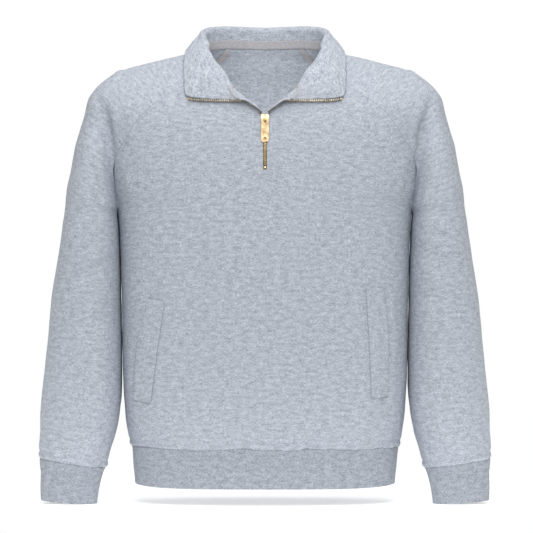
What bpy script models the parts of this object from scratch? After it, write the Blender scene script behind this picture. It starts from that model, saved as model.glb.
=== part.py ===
"""Half-zip raglan sweatshirt, filled out as it is worn, with nobody in it.

Metres, +Z up. The front faces -Y and the wearer's left arm is at +X. The origin lies inside the neck, on the
shoulder line. Sizes below are in millimetres and the meshes are scaled to metres where they are made.

One smooth form gives the middle of the cloth everywhere: a body whose level sections are superellipses, joined
softly to two arms. Every panel is a stack of rows laid on that form between its seams, and a wall is that sheet
thickened along the form's own outward direction, so that neighbours meet edge to edge.
"""

import math

import bmesh
import bpy
import numpy as np

MM = 0.001

# ---- cloth ----
FLEECE = 2.4
RIB_CLOTH = 3.2
DOUBLE_FLEECE = 4.0
TAPE_CLOTH = 1.0
SEAM_INSET = 0.2
NECK_INSET = 0.9
TAPE_LIFT = -0.5 * (FLEECE + TAPE_CLOTH) - 1.1

# ---- levels ----
ZIP_BOTTOM = -181.0
SLIT_HALF = 3.9
SLIT_END = 0.6
SIDE_Y = 5.0
HEM_SEAM = -615.0
HEM_BOTTOM = -677.0
CUFF_SEAM = -640.0
CUFF_BOTTOM = -702.0
CUFF_SEAM_SLOPE = 0.136
CUFF_EDGE_SLOPE = 0.08

# ---- the body's level sections: height, half width, depth to the front and back of SIDE_Y, squareness ----
BODY = np.array([
    (62.0, 92.0, 44.0, 62.0, 2.0),
    (46.0, 93.0, 47.0, 64.0, 2.0),
    (32.0, 95.0, 52.0, 66.0, 2.0),
    (20.0, 98.0, 56.0, 68.0, 2.0),
    (13.0, 104.0, 58.0, 70.0, 2.0),
    (5.0, 125.0, 60.0, 73.0, 2.0),
    (-4.0, 164.0, 61.5, 75.0, 2.0),
    (-12.0, 195.0, 63.5, 77.0, 2.0),
    (-20.0, 223.0, 68.0, 80.0, 2.0),
    (-35.0, 252.0, 78.0, 86.0, 2.15),
    (-50.0, 266.0, 88.0, 91.0, 2.4),
    (-66.0, 272.0, 96.0, 95.0, 2.7),
    (-82.0, 271.5, 103.0, 98.0, 2.9),
    (-114.0, 262.0, 111.0, 102.0, 3.0),
    (-146.0, 250.5, 115.0, 104.0, 3.0),
    (-178.0, 244.0, 116.5, 105.0, 3.0),
    (-210.0, 238.5, 117.0, 105.0, 2.9),
    (-240.0, 232.0, 117.5, 105.0, 2.7),
    (-300.0, 228.0, 118.0, 105.0, 2.6),
    (-400.0, 225.5, 118.0, 105.0, 2.6),
    (-500.0, 224.0, 118.5, 105.5, 2.6),
    (-565.0, 220.0, 118.5, 105.5, 2.6),
    (-600.0, 214.0, 115.0, 102.0, 2.6),
    (-620.0, 208.5, 110.0, 98.0, 2.6),
    (-645.0, 206.5, 107.5, 96.0, 2.6),
    (-680.0, 203.5, 104.0, 93.5, 2.6),
])

# ---- an arm's level sections: height, centre x, half width, half depth, centre y, squareness ----
ARM = np.array([
    (-34.0, 232.0, 6.0, 16.0, 5.0, 2.0),
    (-50.0, 240.0, 20.0, 34.0, 5.0, 2.0),
    (-66.0, 250.0, 25.0, 45.0, 5.0, 2.0),
    (-82.0, 256.0, 25.8, 52.0, 5.0, 2.0),
    (-114.0, 262.0, 29.8, 62.0, 5.0, 2.1),
    (-146.0, 265.0, 35.8, 72.0, 5.0, 2.2),
    (-178.0, 269.5, 36.8, 76.0, 5.0, 2.3),
    (-210.0, 274.0, 38.8, 79.0, 5.0, 2.4),
    (-236.0, 273.6, 41.2, 80.0, 5.0, 2.5),
    (-246.0, 276.5, 40.0, 80.0, 5.0, 2.5),
    (-262.0, 276.1, 42.7, 80.0, 4.0, 2.5),
    (-318.0, 278.9, 47.9, 78.0, 2.0, 2.4),
    (-383.0, 283.25, 53.95, 74.0, 0.0, 2.3),
    (-446.0, 285.55, 57.25, 70.0, -4.0, 2.2),
    (-510.0, 288.7, 60.5, 67.0, -8.0, 2.2),
    (-542.0, 290.8, 62.0, 65.0, -10.0, 2.2),
    (-558.0, 292.0, 61.8, 64.0, -12.0, 2.2),
    (-590.0, 295.0, 59.0, 60.0, -16.0, 2.2),
    (-621.0, 300.0, 55.0, 53.0, -20.0, 2.1),
    (-640.0, 301.7, 51.5, 45.0, -22.0, 2.1),
    (-655.0, 304.5, 47.5, 36.0, -24.0, 2.1),
    (-685.0, 308.0, 44.0, 31.0, -28.0, 2.1),
    (-712.0, 309.0, 41.5, 29.0, -31.0, 2.1),
])

# ---- neck opening: turn about the neck from the front in degrees, height of the fold's foot on the form ----
RIM = np.array([
    (2.0, -92.0), (9.5, -81.0), (16.5, -74.0), (25.6, -64.0), (33.5, -50.3), (39.9, -37.0), (46.6, -26.0),
    (53.7, -15.5), (60.3, -2.5), (69.9, 9.0), (80.0, 23.0), (90.0, 34.0), (112.0, 45.0), (133.0, 47.5),
    (154.0, 47.0), (180.0, 46.0),
])

# ---- neck seam, from where it comes out of the fold to the centre back: turn, height ----
NECK_SEAM = np.array([
    (33.5, -50.3), (42.0, -38.5), (52.3, -24.7), (60.0, -13.0), (68.0, 1.0), (75.0, 7.5), (90.0, 11.0),
    (105.0, 15.0), (120.0, 18.5), (137.0, 20.0), (160.0, 19.5), (180.0, 19.0),
])
SEAM_LEAVES_FOLD = 33.5
SEAM_AT_ZIP = 21.5
FRONT_RAGLAN_TURN = 52.3
BACK_RAGLAN_TURN = 137.0
COLLAR_TIP_TURN = 46.6

# ---- outer edge of the turned-over cloth: turn, x, y, z; up to the tip it is the zip's edge ----
LEAF_EDGE = np.array([
    (2.0, 4.1, -103.5, -91.5), (5.5, 11.0, -104.5, -85.6), (9.5, 18.0, -105.5, -80.5), (16.5, 32.0, -105.0, -72.5),
    (25.6, 49.0, -101.5, -70.5), (33.5, 72.5, -99.5, -70.5), (39.9, 98.0, -97.5, -70.0),
    (46.6, 121.5, -93.5, -66.5), (48.6, 124.6, -91.5, -61.5),
    (53.7, 126.0, -83.0, -50.5), (60.3, 126.5, -68.0, -32.0), (69.9, 126.5, -50.0, -9.0), (80.0, 125.0, -24.0, 7.0), (90.0, 121.0, 3.0, 12.0),
    (112.0, 104.0, 50.0, 9.5), (133.0, 76.0, 78.0, 5.5), (154.0, 40.0, 88.0, 3.0), (180.0, 0.0, 91.0, 2.0),
])
# turn and how far the fold rounds out
FOLD_RADIUS = np.array([(2.0, 1.3), (5.5, 1.4), (9.5, 1.9), (16.5, 3.0), (25.6, 4.6), (60.0, 4.8), (180.0, 4.8)])

# ---- raglan seams in the front view: x, height, from the neck to where they reach the armpit crease ----
FRONT_RAGLAN = np.array([(86.0, -24.7), (128.0, -50.0), (162.0, -71.0), (186.0, -89.0), (214.0, -127.0),
                         (234.0, -160.0), (237.5, -180.0), (235.5, -205.0)])
BACK_RAGLAN = np.array([(56.0, 20.0), (84.0, -12.0), (118.0, -50.0), (160.0, -88.0), (205.0, -128.0),
                        (236.0, -160.0), (235.0, -205.0)])
# top outline of the shoulder: x, height
SHOULDER = np.array([(101.0, 12.0), (140.0, 1.5), (180.0, -8.0), (222.0, -20.0), (252.0, -36.0),
                     (270.0, -58.0), (283.0, -86.0), (300.0, -145.0), (308.0, -185.0), (313.0, -225.0)])
# a place inside the cloth that sees each sleeve row: x, height
SLEEVE_HEART = np.array([(62.0, -30.0), (100.0, -52.0), (142.0, -72.0), (180.0, -90.0), (210.0, -112.0),
                         (238.0, -150.0), (262.0, -195.0), (273.0, -225.0)])

# ---- rows and columns ----
SLEEVE_YOKE_ROWS = 11
PIT_SPREAD = 1.6
PIT_SPREAD_FIRST = 6
SLEEVE_COLUMNS = 24
BACK_COLUMNS = 10
BODY_LEVELS = (-262.0, -290.0, -325.0, -362.0, -400.0, -440.0, -480.0, -515.0, -545.0, -572.0, -594.0, HEM_SEAM)
ARM_LEVELS = (-258.0, -285.0, -320.0, -360.0, -400.0, -440.0, -478.0, -512.0, -544.0, -570.0, -594.0, -617.0,
              CUFF_SEAM)

# ---- soft folds: from x, y side, height to x, height; width, depth; side is -1 in front and 1 behind ----
FOLDS = np.array([
    # x0, z0, x1, z1, side, width, depth
    (236.0, -300.0, 322.0, -352.0, -1.0, 15.0, -3.2),
    (240.0, -372.0, 326.0, -398.0, -1.0, 14.0, -2.6),
    (250.0, -452.0, 340.0, -478.0, -1.0, 16.0, -3.0),
    (262.0, -560.0, 345.0, -585.0, -1.0, 13.0, -3.2),
    (255.0, -330.0, 330.0, -300.0, 1.0, 15.0, -3.4),
    (250.0, -420.0, 335.0, -386.0, 1.0, 16.0, -3.6),
    (260.0, -505.0, 345.0, -530.0, 1.0, 15.0, -2.8),
    (262.0, -600.0, 346.0, -575.0, 1.0, 12.0, -3.0),
    (-236.0, -322.0, -324.0, -362.0, -1.0, 14.0, -2.8),
    (-240.0, -410.0, -330.0, -440.0, -1.0, 17.0, -3.2),
    (-255.0, -505.0, -342.0, -520.0, -1.0, 14.0, -2.4),
    (-262.0, -590.0, -345.0, -572.0, -1.0, 12.0, -3.0),
    (-250.0, -318.0, -328.0, -340.0, 1.0, 15.0, -3.2),
    (-250.0, -430.0, -336.0, -400.0, 1.0, 16.0, -3.4),
    (-258.0, -528.0, -345.0, -500.0, 1.0, 15.0, -2.8),
    (120.0, -606.0, 150.0, -510.0, -1.0, 14.0, -2.6),
    (62.0, -608.0, 70.0, -540.0, -1.0, 12.0, -2.0),
    (-20.0, -608.0, -34.0, -556.0, -1.0, 13.0, -1.8),
    (-98.0, -607.0, -120.0, -520.0, -1.0, 14.0, -2.4),
    (-178.0, -600.0, -196.0, -470.0, -1.0, 16.0, -2.6),
    (180.0, -600.0, 198.0, -480.0, -1.0, 15.0, -2.4),
    (150.0, -604.0, 120.0, -470.0, 1.0, 18.0, -3.2),
    (40.0, -606.0, 22.0, -520.0, 1.0, 15.0, -2.6),
    (-70.0, -606.0, -60.0, -500.0, 1.0, 16.0, -3.0),
    (-165.0, -602.0, -190.0, -450.0, 1.0, 17.0, -3.2),
    (262.0, -66.0, 246.0, -128.0, -1.0, 10.0, -4.5),
    (252.0, -112.0, 243.0, -196.0, -1.0, 11.0, -2.6),
    (-262.0, -66.0, -246.0, -128.0, -1.0, 10.0, -4.5),
    (-252.0, -112.0, -243.0, -196.0, -1.0, 11.0, -2.6),
    (262.0, -70.0, 248.0, -134.0, 1.0, 12.0, -3.0),
    (-262.0, -70.0, -248.0, -134.0, 1.0, 12.0, -2.8),
    (60.0, -60.0, 190.0, -210.0, 1.0, 22.0, -3.0),
    (-75.0, -66.0, -186.0, -196.0, 1.0, 20.0, -2.6),
])

# ---- pockets: each welt's edges in the front view, top to bottom: inner x, inner z, outer x, outer z ----
WELT_LEFT = np.array([
    (157.5, -366.0, 181.5, -365.0), (159.0, -392.0, 185.5, -392.0), (161.0, -423.0, 188.5, -423.0),
    (164.0, -480.0, 190.5, -480.0), (166.0, -534.0, 190.5, -533.0),
])
WELT_RIGHT = np.array([
    (-157.0, -387.0, -180.0, -382.0), (-161.0, -415.0, -187.0, -409.0), (-165.5, -447.0, -196.0, -445.0),
    (-172.5, -495.0, -202.0, -495.0), (-179.0, -542.0, -204.0, -538.0),
])
WELT_THICK = 2.6
BAG_THICK = 3.2
BAG_INNER_X = 74.0
BAG_OUTER_X = 176.0
BAG_TOP = -384.0
BAG_BOTTOM = -566.0
STACK_GAP = 0.3
POCKET_GAP = 0.9

# ---- inside tape over the back raglan seams ----
RAGLAN_TAPE_WIDE = 10.0
RAGLAN_TAPE_ROWS = 6

# ---- zip ----
TEETH_WIDE = 3.2
TEETH_THICK = 2.6
TEETH_CLEAR = 1.0
TEETH_LAST_TURN = 44.5
CHAIN_HALF = 3.1
CHAIN_TOP = -110.2
CHAIN_BOTTOM = -174.4
CHAIN_TAPE_HALF = 13.0
CHAIN_TAPE_THICK = 0.8
SLIDER_TOP = -94.5
SLIDER_BOTTOM = -109.5
SLIDER_CORE_HALF = 3.2
SLIDER_FRONT_HALF = 6.2
SLIDER_BACK_HALF = 5.2
PLATE_THICK = 1.6
PLATE_CLEAR = 1.5
BRIDGE_TOP = -95.6
BRIDGE_BOTTOM = -107.4
BRIDGE_HALF = 1.3
BRIDGE_HIGH = 4.6
BRIDGE_BAR = 1.4
PULL_AXIS_Z = -103.7
PULL_AXIS_RISE = 1.6
PULL_ABOVE = 1.0
PULL_LONG = 36.0
PULL_HALF = 6.0
PULL_THICK = 1.5
PULL_LEAN = 6.0
PULL_SLOT_HALF = 2.1
PULL_SLOT_END = 5.8
PULL_HOLE_RADIUS = 2.2
PULL_HOLE_AT = 29.8
STOP_TOP = -174.8
STOP_BOTTOM = -180.6
STOP_HALF = 3.6
STOP_DEPTH = 2.2
END_STOP = (3.6, 3.4, 3.0)

FINISHES = {
    # colour, roughness, metallic
    "fleece": ((0.50, 0.53, 0.58), 0.95, 0.0),
    "rib": ((0.42, 0.45, 0.50), 0.95, 0.0),
    "tape": ((0.62, 0.60, 0.61), 0.85, 0.0),
    "brass": ((0.45, 0.33, 0.16), 0.38, 1.0),
    "zip_tape": ((0.30, 0.31, 0.33), 0.9, 0.0),
}


# ------------------------------------------------------------------ tables and curves

def smooth_rows(table, at):
    """Every column of a table at given values of its first column, by monotone cubics through the rows."""
    table = table[np.argsort(table[:, 0])]
    knots = table[:, 0]
    values = table[:, 1:]
    gap = np.diff(knots)[:, None]
    slope = np.diff(values, axis=0) / gap
    bend = np.zeros_like(values)
    before = slope[:-1]
    after = slope[1:]
    same_way = before * after > 0
    total = np.where(same_way, before + after, 1.0)
    bend[1:-1] = np.where(same_way, 2.0 * before * after / total, 0.0)
    bend[0] = slope[0]
    bend[-1] = slope[-1]
    at = np.clip(at, knots[0], knots[-1])
    piece = np.clip(np.searchsorted(knots, at, side="right") - 1, 0, len(knots) - 2)
    long = gap[piece, 0]
    t = ((at - knots[piece]) / long)[..., None]
    long = long[..., None]
    return (
        values[piece] * (1 + 2 * t) * (1 - t) ** 2
        + bend[piece] * long * t * (1 - t) ** 2
        + values[piece + 1] * t * t * (3 - 2 * t)
        + bend[piece + 1] * long * t * t * (t - 1)
    )


def run_lengths(path):
    """Distance along a path to each of its points."""
    steps = np.linalg.norm(np.diff(path, axis=0), axis=1)
    return np.concatenate([[0.0], np.cumsum(steps)])


def resample(path, share):
    """Points at given shares of a path's length."""
    path = np.asarray(path, float)
    run = run_lengths(path)
    want = np.asarray(share) * run[-1]
    return np.stack([np.interp(want, run, path[:, axis]) for axis in range(path.shape[1])], axis=1)


def along_table(table, count):
    """A table's places spread evenly along its own smooth line."""
    key = np.linspace(0.0, len(table) - 1.0, 30 * len(table))
    indexed = np.column_stack([np.arange(len(table)), table])
    return resample(smooth_rows(indexed, key), np.linspace(0.0, 1.0, count))


def unit(vectors):
    """Vectors made one long."""
    return vectors / np.maximum(np.linalg.norm(vectors, axis=-1, keepdims=True), 1e-9)


# ------------------------------------------------------------------ the form

def body_field(points):
    """Below zero inside the body: the superellipse ratio of each level section, scaled to about a distance."""
    rows = smooth_rows(BODY, points[..., 2])
    wide, front, back, square = np.moveaxis(rows, -1, 0)
    across = np.abs(points[..., 0]) / wide
    deep = points[..., 1] - SIDE_Y
    deep = np.abs(deep) / np.where(deep < 0, front, back)
    ratio = (across ** square + deep ** square + 1e-12) ** (1.0 / square)
    return (ratio - 1.0) * 0.5 * (wide + 0.5 * (front + back))


def arm_field(points):
    """Below zero inside either arm."""
    rows = smooth_rows(ARM, points[..., 2])
    centre, wide, deep, middle, square = np.moveaxis(rows, -1, 0)
    across = np.abs(np.abs(points[..., 0]) - centre) / wide
    depth = np.abs(points[..., 1] - middle) / deep
    ratio = (across ** square + depth ** square + 1e-12) ** (1.0 / square)
    above = np.maximum(points[..., 2] - ARM[0, 0], 0.0)
    return (ratio - 1.0) * 0.5 * (wide + deep) + above


def form_field(points):
    """Body and arms joined by a fillet that is broad at the shoulder and small in the armpit."""
    body = body_field(points)
    arm = arm_field(points)
    fillet = np.interp(points[..., 2], [-252.0, -240.0, -200.0, -120.0, -70.0], [3.0, 8.0, 7.0, 9.0, 22.0])
    overlap = np.maximum(fillet - np.abs(body - arm), 0.0)
    return np.minimum(body, arm) - overlap * overlap / (4.0 * fillet)


def outward(points, field=form_field):
    """The form's outward direction, from the field's slope."""
    step = 0.4
    slope = np.empty(points.shape)
    for axis in range(3):
        shift = np.zeros(3)
        shift[axis] = step
        slope[..., axis] = field(points + shift) - field(points - shift)
    return unit(slope)


def reach(start, way, field=form_field, far=420.0, first_sign=-1.0):
    """Where rays from inside leave the form; with first_sign 1, where rays from outside enter it."""
    way = unit(way)
    steps = np.linspace(0.0, far, 211)
    sample = start[:, None, :] + way[:, None, :] * steps[None, :, None]
    level = field(sample) * first_sign
    crossed = level < 0
    found = np.argmax(crossed, axis=1)
    low = steps[np.maximum(found - 1, 0)]
    high = steps[found]
    for _ in range(26):
        middle = 0.5 * (low + high)
        past = field(start + way * middle[:, None]) * first_sign < 0
        high = np.where(past, middle, high)
        low = np.where(past, low, middle)
    return start + way * (0.5 * (low + high))[:, None]


def on_neck(turn, height):
    """The form's point at a turn about the neck from the front, in degrees, and a height."""
    turn = np.radians(np.atleast_1d(np.asarray(turn, float)))
    height = np.broadcast_to(np.asarray(height, float), turn.shape)
    way = np.stack([np.sin(turn), -np.cos(turn), np.zeros_like(turn)], axis=1)
    start = np.stack([np.zeros_like(turn), np.full_like(turn, SIDE_Y), height], axis=1)
    return reach(start, way, field=body_field)


def seen_from(side, across, height):
    """The form's point that is met from straight in front (-1) or behind (1) at a place in the front view."""
    start = np.stack([across, np.full_like(across, side * 160.0), height], axis=1)
    way = np.tile([0.0, -side, 0.0], (len(across), 1))
    return reach(start, way, far=170.0, first_sign=1.0)


def with_folds(points, normals, drawn=FOLDS):
    """Points pushed along the cloth's outward direction by the soft folds near them."""
    depth = np.zeros(points.shape[:-1])
    for x0, z0, x1, z1, side, wide, deep in drawn:
        run = np.array([x1 - x0, z1 - z0])
        offset = np.stack([points[..., 0] - x0, points[..., 2] - z0], axis=-1)
        share = np.clip(offset @ run / (run @ run), 0.0, 1.0)
        away = np.linalg.norm(offset - share[..., None] * run, axis=-1)
        faces = np.clip(side * normals[..., 1] * 1.6, 0.0, 1.0)
        taper = np.sin(np.pi * np.clip(0.12 + 0.76 * share, 0.0, 1.0))
        depth += deep * np.exp(-(away / wide) ** 2) * taper * faces
    return points + normals * depth[..., None]


# ------------------------------------------------------------------ the neck: stand, fold and leaf

class Neck:
    """The cloth at the neck as places by turn and share: -1..0 up the stand to the fold, 0..1 out to the edge."""

    STEPS = 49
    FOLD_SHARE = 0.25

    def __init__(self, turns):
        self.turns = turns
        rim = smooth_rows(RIM, turns)[:, 0]
        seam = smooth_rows(NECK_SEAM, turns)[:, 0]
        seam = np.where(turns <= SEAM_LEAVES_FOLD, rim, seam)
        self.foot = on_neck(turns, rim)
        share = np.linspace(0.0, 1.0, self.STEPS)
        self.stand = np.stack([on_neck(turns, seam + (rim - seam) * s) for s in share], axis=1)
        edge = smooth_rows(LEAF_EDGE, turns)
        radius = smooth_rows(FOLD_RADIUS, turns)
        out = outward(self.foot, body_field)
        tangent = unit(np.gradient(self.foot, axis=0))
        away = unit(np.cross(out, tangent))
        away *= np.where(np.sum(away * (edge - self.foot), axis=1, keepdims=True) < 0, -1.0, 1.0)
        crown = self.foot + 2.0 * radius * out
        middle = 0.5 * (crown + edge) + out * np.minimum(0.06 * np.linalg.norm(edge - crown, axis=1), 4.0)[:, None]
        guide = [
            self.foot,
            self.foot - 0.7 * radius * away + 0.3 * radius * out,
            self.foot - radius * away + radius * out,
            self.foot - 0.7 * radius * away + 1.7 * radius * out,
            crown,
            middle,
            edge,
        ]
        self.leaf = np.stack(
            [self.rounded(np.stack([g[i] for g in guide])) for i in range(len(turns))]
        )

    def rounded(self, guide):
        """A smooth line through guide points: the fold takes its share of the steps, the flat leaf the rest."""
        run = run_lengths(guide)
        crown = run[4]
        fold_steps = int(self.FOLD_SHARE * (self.STEPS - 1))
        fold = np.linspace(0.0, crown, fold_steps + 1)
        flat = np.linspace(crown, run[-1], self.STEPS - fold_steps)[1:]
        return smooth_rows(np.column_stack([run, guide]), np.concatenate([fold, flat]))

    def at(self, turn, share):
        """Points at turns and shares, by bilinear reading between the stored profiles."""
        row = np.interp(turn, self.turns, np.arange(len(self.turns)))
        low = np.clip(np.floor(row).astype(int), 0, len(self.turns) - 2)
        mix = (row - low)[:, None]
        column = np.where(share < 0, 1.0 + share, share) * (self.STEPS - 1)
        left = np.clip(np.floor(column).astype(int), 0, self.STEPS - 2)
        part = (column - left)[:, None]
        result = 0.0
        for step, weight in ((low, 1.0 - mix), (low + 1, mix)):
            stand = self.stand[step, left] * (1 - part) + self.stand[step, left + 1] * part
            leaf = self.leaf[step, left] * (1 - part) + self.leaf[step, left + 1] * part
            result = result + weight * np.where((share < 0)[:, None], stand, leaf)
        return result


NECK_TURNS = np.concatenate([np.linspace(2.0, 60.0, 59), np.linspace(62.0, 180.0, 60)])
neck = Neck(NECK_TURNS)


# ------------------------------------------------------------------ seams

def armpit():
    """The lowest point of the web between body and arm, on the side line."""
    height = np.linspace(-225.0, -262.0, 400)
    body = smooth_rows(BODY, height)[:, 0]
    arm = smooth_rows(ARM, height)
    across = 0.5 * (body + arm[:, 0] - arm[:, 1])
    places = np.stack([across, np.full_like(across, SIDE_Y), height], axis=1)
    outside = np.argmax(form_field(places) > 0)
    return places[outside]


PIT = armpit()


def raglan_seam(table, side, top_turn):
    """A raglan seam's points from the neck to the armpit."""
    drawn = along_table(np.vstack([table, [PIT[0], PIT[2]]]), SLEEVE_YOKE_ROWS + 1)
    points = seen_from(side, drawn[:, 0], drawn[:, 1])
    points[0] = on_neck(top_turn, smooth_rows(NECK_SEAM, np.array([top_turn]))[:, 0])[0]
    points[-1] = PIT
    return points


front_raglan = raglan_seam(FRONT_RAGLAN, -1.0, FRONT_RAGLAN_TURN)
back_raglan = raglan_seam(BACK_RAGLAN, 1.0, BACK_RAGLAN_TURN)


def pit_spread(side):
    """How far each raglan row's end stands off the seam in x, so that body and sleeve clear in the crease."""
    row = np.arange(SLEEVE_YOKE_ROWS + 1)
    spread = np.zeros((len(row), 3))
    spread[:, 0] = side * PIT_SPREAD * np.clip((row - PIT_SPREAD_FIRST) / (row[-1] - PIT_SPREAD_FIRST), 0.0, 1.0)
    return spread


def side_seam():
    """The side seam's points at the body's levels, below the armpit."""
    levels = np.array(BODY_LEVELS)
    across = smooth_rows(BODY, levels)[:, 0]
    return np.stack([across, np.full_like(across, SIDE_Y), levels], axis=1)


# ------------------------------------------------------------------ walls

def grid_normals(grid):
    """Outward-ish directions of a grid from its own slopes."""
    return unit(np.cross(np.gradient(grid, axis=0), np.gradient(grid, axis=1)))


def inset_edges(grid, sides, amount=SEAM_INSET):
    """A grid whose named sides are drawn in along its own lines: t top, b bottom, l first column, r last."""
    grid = grid.copy()
    if "t" in sides:
        grid[0] += amount * unit(grid[1] - grid[0])
    if "b" in sides:
        grid[-1] += amount * unit(grid[-2] - grid[-1])
    if "l" in sides:
        grid[:, 0] += amount * unit(grid[:, 1] - grid[:, 0])
    if "r" in sides:
        grid[:, -1] += amount * unit(grid[:, -2] - grid[:, -1])
    return grid


def mirrored(patch):
    """A patch of points and normals on the other side of the garment."""
    flip = np.array([-1.0, 1.0, 1.0])
    return tuple(array * flip for array in patch)


def material(kind):
    """One finish as a plain shader."""
    found = bpy.data.materials.get(kind)
    if found:
        return found
    colour, rough, metal = FINISHES[kind]
    made = bpy.data.materials.new(kind)
    made.use_nodes = True
    shader = made.node_tree.nodes["Principled BSDF"]
    shader.inputs["Base Color"].default_value = (*colour, 1.0)
    shader.inputs["Roughness"].default_value = rough
    shader.inputs["Metallic"].default_value = metal
    return made


def add_mesh(name, points, faces, kind):
    """One named object from points in millimetres."""
    mesh = bpy.data.meshes.new(name)
    mesh.from_pydata((np.asarray(points) * MM).tolist(), [], [list(face) for face in faces])
    mesh.update()
    mesh.materials.append(material(kind))
    mesh.shade_smooth()
    mesh.set_sharp_from_angle(angle=math.radians(50.0))
    made = bpy.data.objects.new(name, mesh)
    bpy.context.scene.collection.objects.link(made)
    return made


def wall(name, patches, thick, kind, lift=0.0):
    """A closed wall from patches of points and outward directions, joined where their points meet.

    The sheet goes half the thickness each way, and a band of faces closes every open edge. lift moves the whole
    wall outward."""
    places = []
    ways = []
    index = {}
    faces = []
    for points, normals in patches:
        points = np.asarray(points, float)
        rows, columns = points.shape[:2]
        ids = np.empty((rows, columns), int)
        for r in range(rows):
            for c in range(columns):
                key = tuple(np.round(points[r, c], 3))
                if key not in index:
                    index[key] = len(places)
                    places.append(points[r, c])
                    ways.append(normals[r, c])
                ids[r, c] = index[key]
        quads = np.stack([ids[:-1, :-1], ids[1:, :-1], ids[1:, 1:], ids[:-1, 1:]], axis=-1).reshape(-1, 4)
        corner = np.array(places)[quads]
        facing = np.cross(corner[:, 2] - corner[:, 0], corner[:, 3] - corner[:, 1])
        agree = np.sum(facing * np.array(ways)[quads[:, 0]], axis=1).sum()
        if agree < 0:
            quads = quads[:, ::-1]
        for quad in quads:
            kept = [v for i, v in enumerate(quad) if v != quad[i - 1]]
            if len(set(kept)) >= 3:
                faces.append(kept)
    places = np.array(places)
    ways = unit(np.array(ways))
    count = len(places)
    outer = places + ways * (lift + 0.5 * thick)
    inner = places + ways * (lift - 0.5 * thick)
    edges = {}
    for face in faces:
        for a, b in zip(face, face[1:] + face[:1]):
            edges[(a, b)] = True
    solid = [list(face) for face in faces]
    solid += [[v + count for v in reversed(face)] for face in faces]
    for a, b in edges:
        if (b, a) not in edges:
            solid.append([b, a, a + count, b + count])
    return add_mesh(name, np.vstack([outer, inner]), solid, kind)


# ------------------------------------------------------------------ panels

def body_row(start, end, count=40):
    """Points on the body between two of its points, swept about the middle line."""
    share = np.linspace(0.0, 1.0, count)
    turn0 = math.atan2(start[0], -(start[1] - SIDE_Y))
    turn1 = math.atan2(end[0], -(end[1] - SIDE_Y))
    turn = turn0 + (turn1 - turn0) * share
    height = start[2] + (end[2] - start[2]) * share
    way = np.stack([np.sin(turn), -np.cos(turn), np.zeros_like(turn)], axis=1)
    origin = np.stack([np.zeros_like(turn), np.full_like(turn, SIDE_Y), height], axis=1)
    line = body_reach(origin, way, end[2])
    line[0] = start
    line[-1] = end
    return line


def body_reach(origin, way, height):
    """Where level rays from the middle line leave the body, with the fillet to the arm but never past it."""
    own = reach(origin, way, field=body_field)
    if height < PIT[2]:
        return own
    joined = reach(origin, way)
    past = np.linalg.norm(joined - own, axis=1) > 9.0
    return np.where(past[:, None], own, joined)


def front_seam_side():
    """The front panel's outer edge: raglan, then side seam, then on down to the hem."""
    return np.vstack([front_raglan + pit_spread(-1.0), side_seam()])


LAPEL_SHARES = (1.0, 0.6, 0.25, 0.17, 0.13, 0.09, 0.05, 0.0)
LAPEL_TURNS = ((SEAM_AT_ZIP, SEAM_LEAVES_FOLD), (17.0, 24.5), (11.0, 15.0), (5.5, 7.0))
ZIP_LEVELS = (-93.0, -108.0, -124.0, -141.0, -158.0, ZIP_BOTTOM)
EDGE_STEPS = (0.0, 4.0, 8.0, 11.0, 14.0, 17.0, 20.0, 24.0)
TOP_STEPS_SHARE = 0.45
CHEST_COLUMNS = 12


def front_grid():
    """The front panel's right half: a row from its zip or centre edge to its outer edge.

    Above the slider the first columns follow the lapel from the zip's edge over the fold to its foot. Below it
    they are short steps beside the zip, and the rest are even."""
    outer = front_seam_side()
    even = np.linspace(0.0, 1.0, CHEST_COLUMNS + 1)
    rows = []
    for k, end in enumerate(outer):
        if k < len(LAPEL_TURNS):
            shares = np.array(LAPEL_SHARES)
            edge_turn, foot_turn = LAPEL_TURNS[k]
            turn = foot_turn + (edge_turn - foot_turn) * shares
            lapel = neck.at(turn, shares)
            if k == 0:
                turn = np.linspace(SEAM_LEAVES_FOLD, FRONT_RAGLAN_TURN, 40)
                chest = neck.at(turn, np.full_like(turn, -1.0))
            else:
                chest = body_row(lapel[-1], end)
            rows.append(np.vstack([lapel, resample(chest, even)[1:]]))
            continue
        slit = k - len(LAPEL_TURNS)
        if slit < len(ZIP_LEVELS):
            middle = seen_from(-1.0, np.array([SLIT_HALF]), np.array([ZIP_LEVELS[slit]]))[0]
        else:
            lowest = len(front_raglan) - 1
            level = end[2]
            if k < lowest:
                first = len(LAPEL_TURNS) + len(ZIP_LEVELS)
                closed = ZIP_BOTTOM - SLIT_END
                level = closed + (PIT[2] - closed) * (k - first) / (lowest - first)
            middle = on_neck(0.0, level)[0]
            middle[0] = 0.0
        line = body_row(middle, end)
        length = run_lengths(line)[-1]
        near = np.array(EDGE_STEPS) * (TOP_STEPS_SHARE if slit == 0 else 1.0) / length
        rows.append(resample(line, np.concatenate([near, near[-1] + (1.0 - near[-1]) * even[1:]])))
    return np.array(rows)


def grid_from(rows, count):
    """Dense rows brought to the same number of even columns."""
    share = np.linspace(0.0, 1.0, count + 1)
    return np.array([resample(row, share) for row in rows])


def dressed(grid, seam_rows=(), seam_columns=(), folds=True):
    """A grid with its folds and outward directions, which along seams are the form's own."""
    normals = grid_normals(grid)
    formal = outward(grid)
    if np.sum(normals * formal) < 0:
        normals = -normals
    for row in seam_rows:
        normals[row] = formal[row]
    for column in seam_columns:
        normals[:, column] = formal[:, column]
    if folds:
        grid = with_folds(grid, formal)
    return grid, normals


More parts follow.
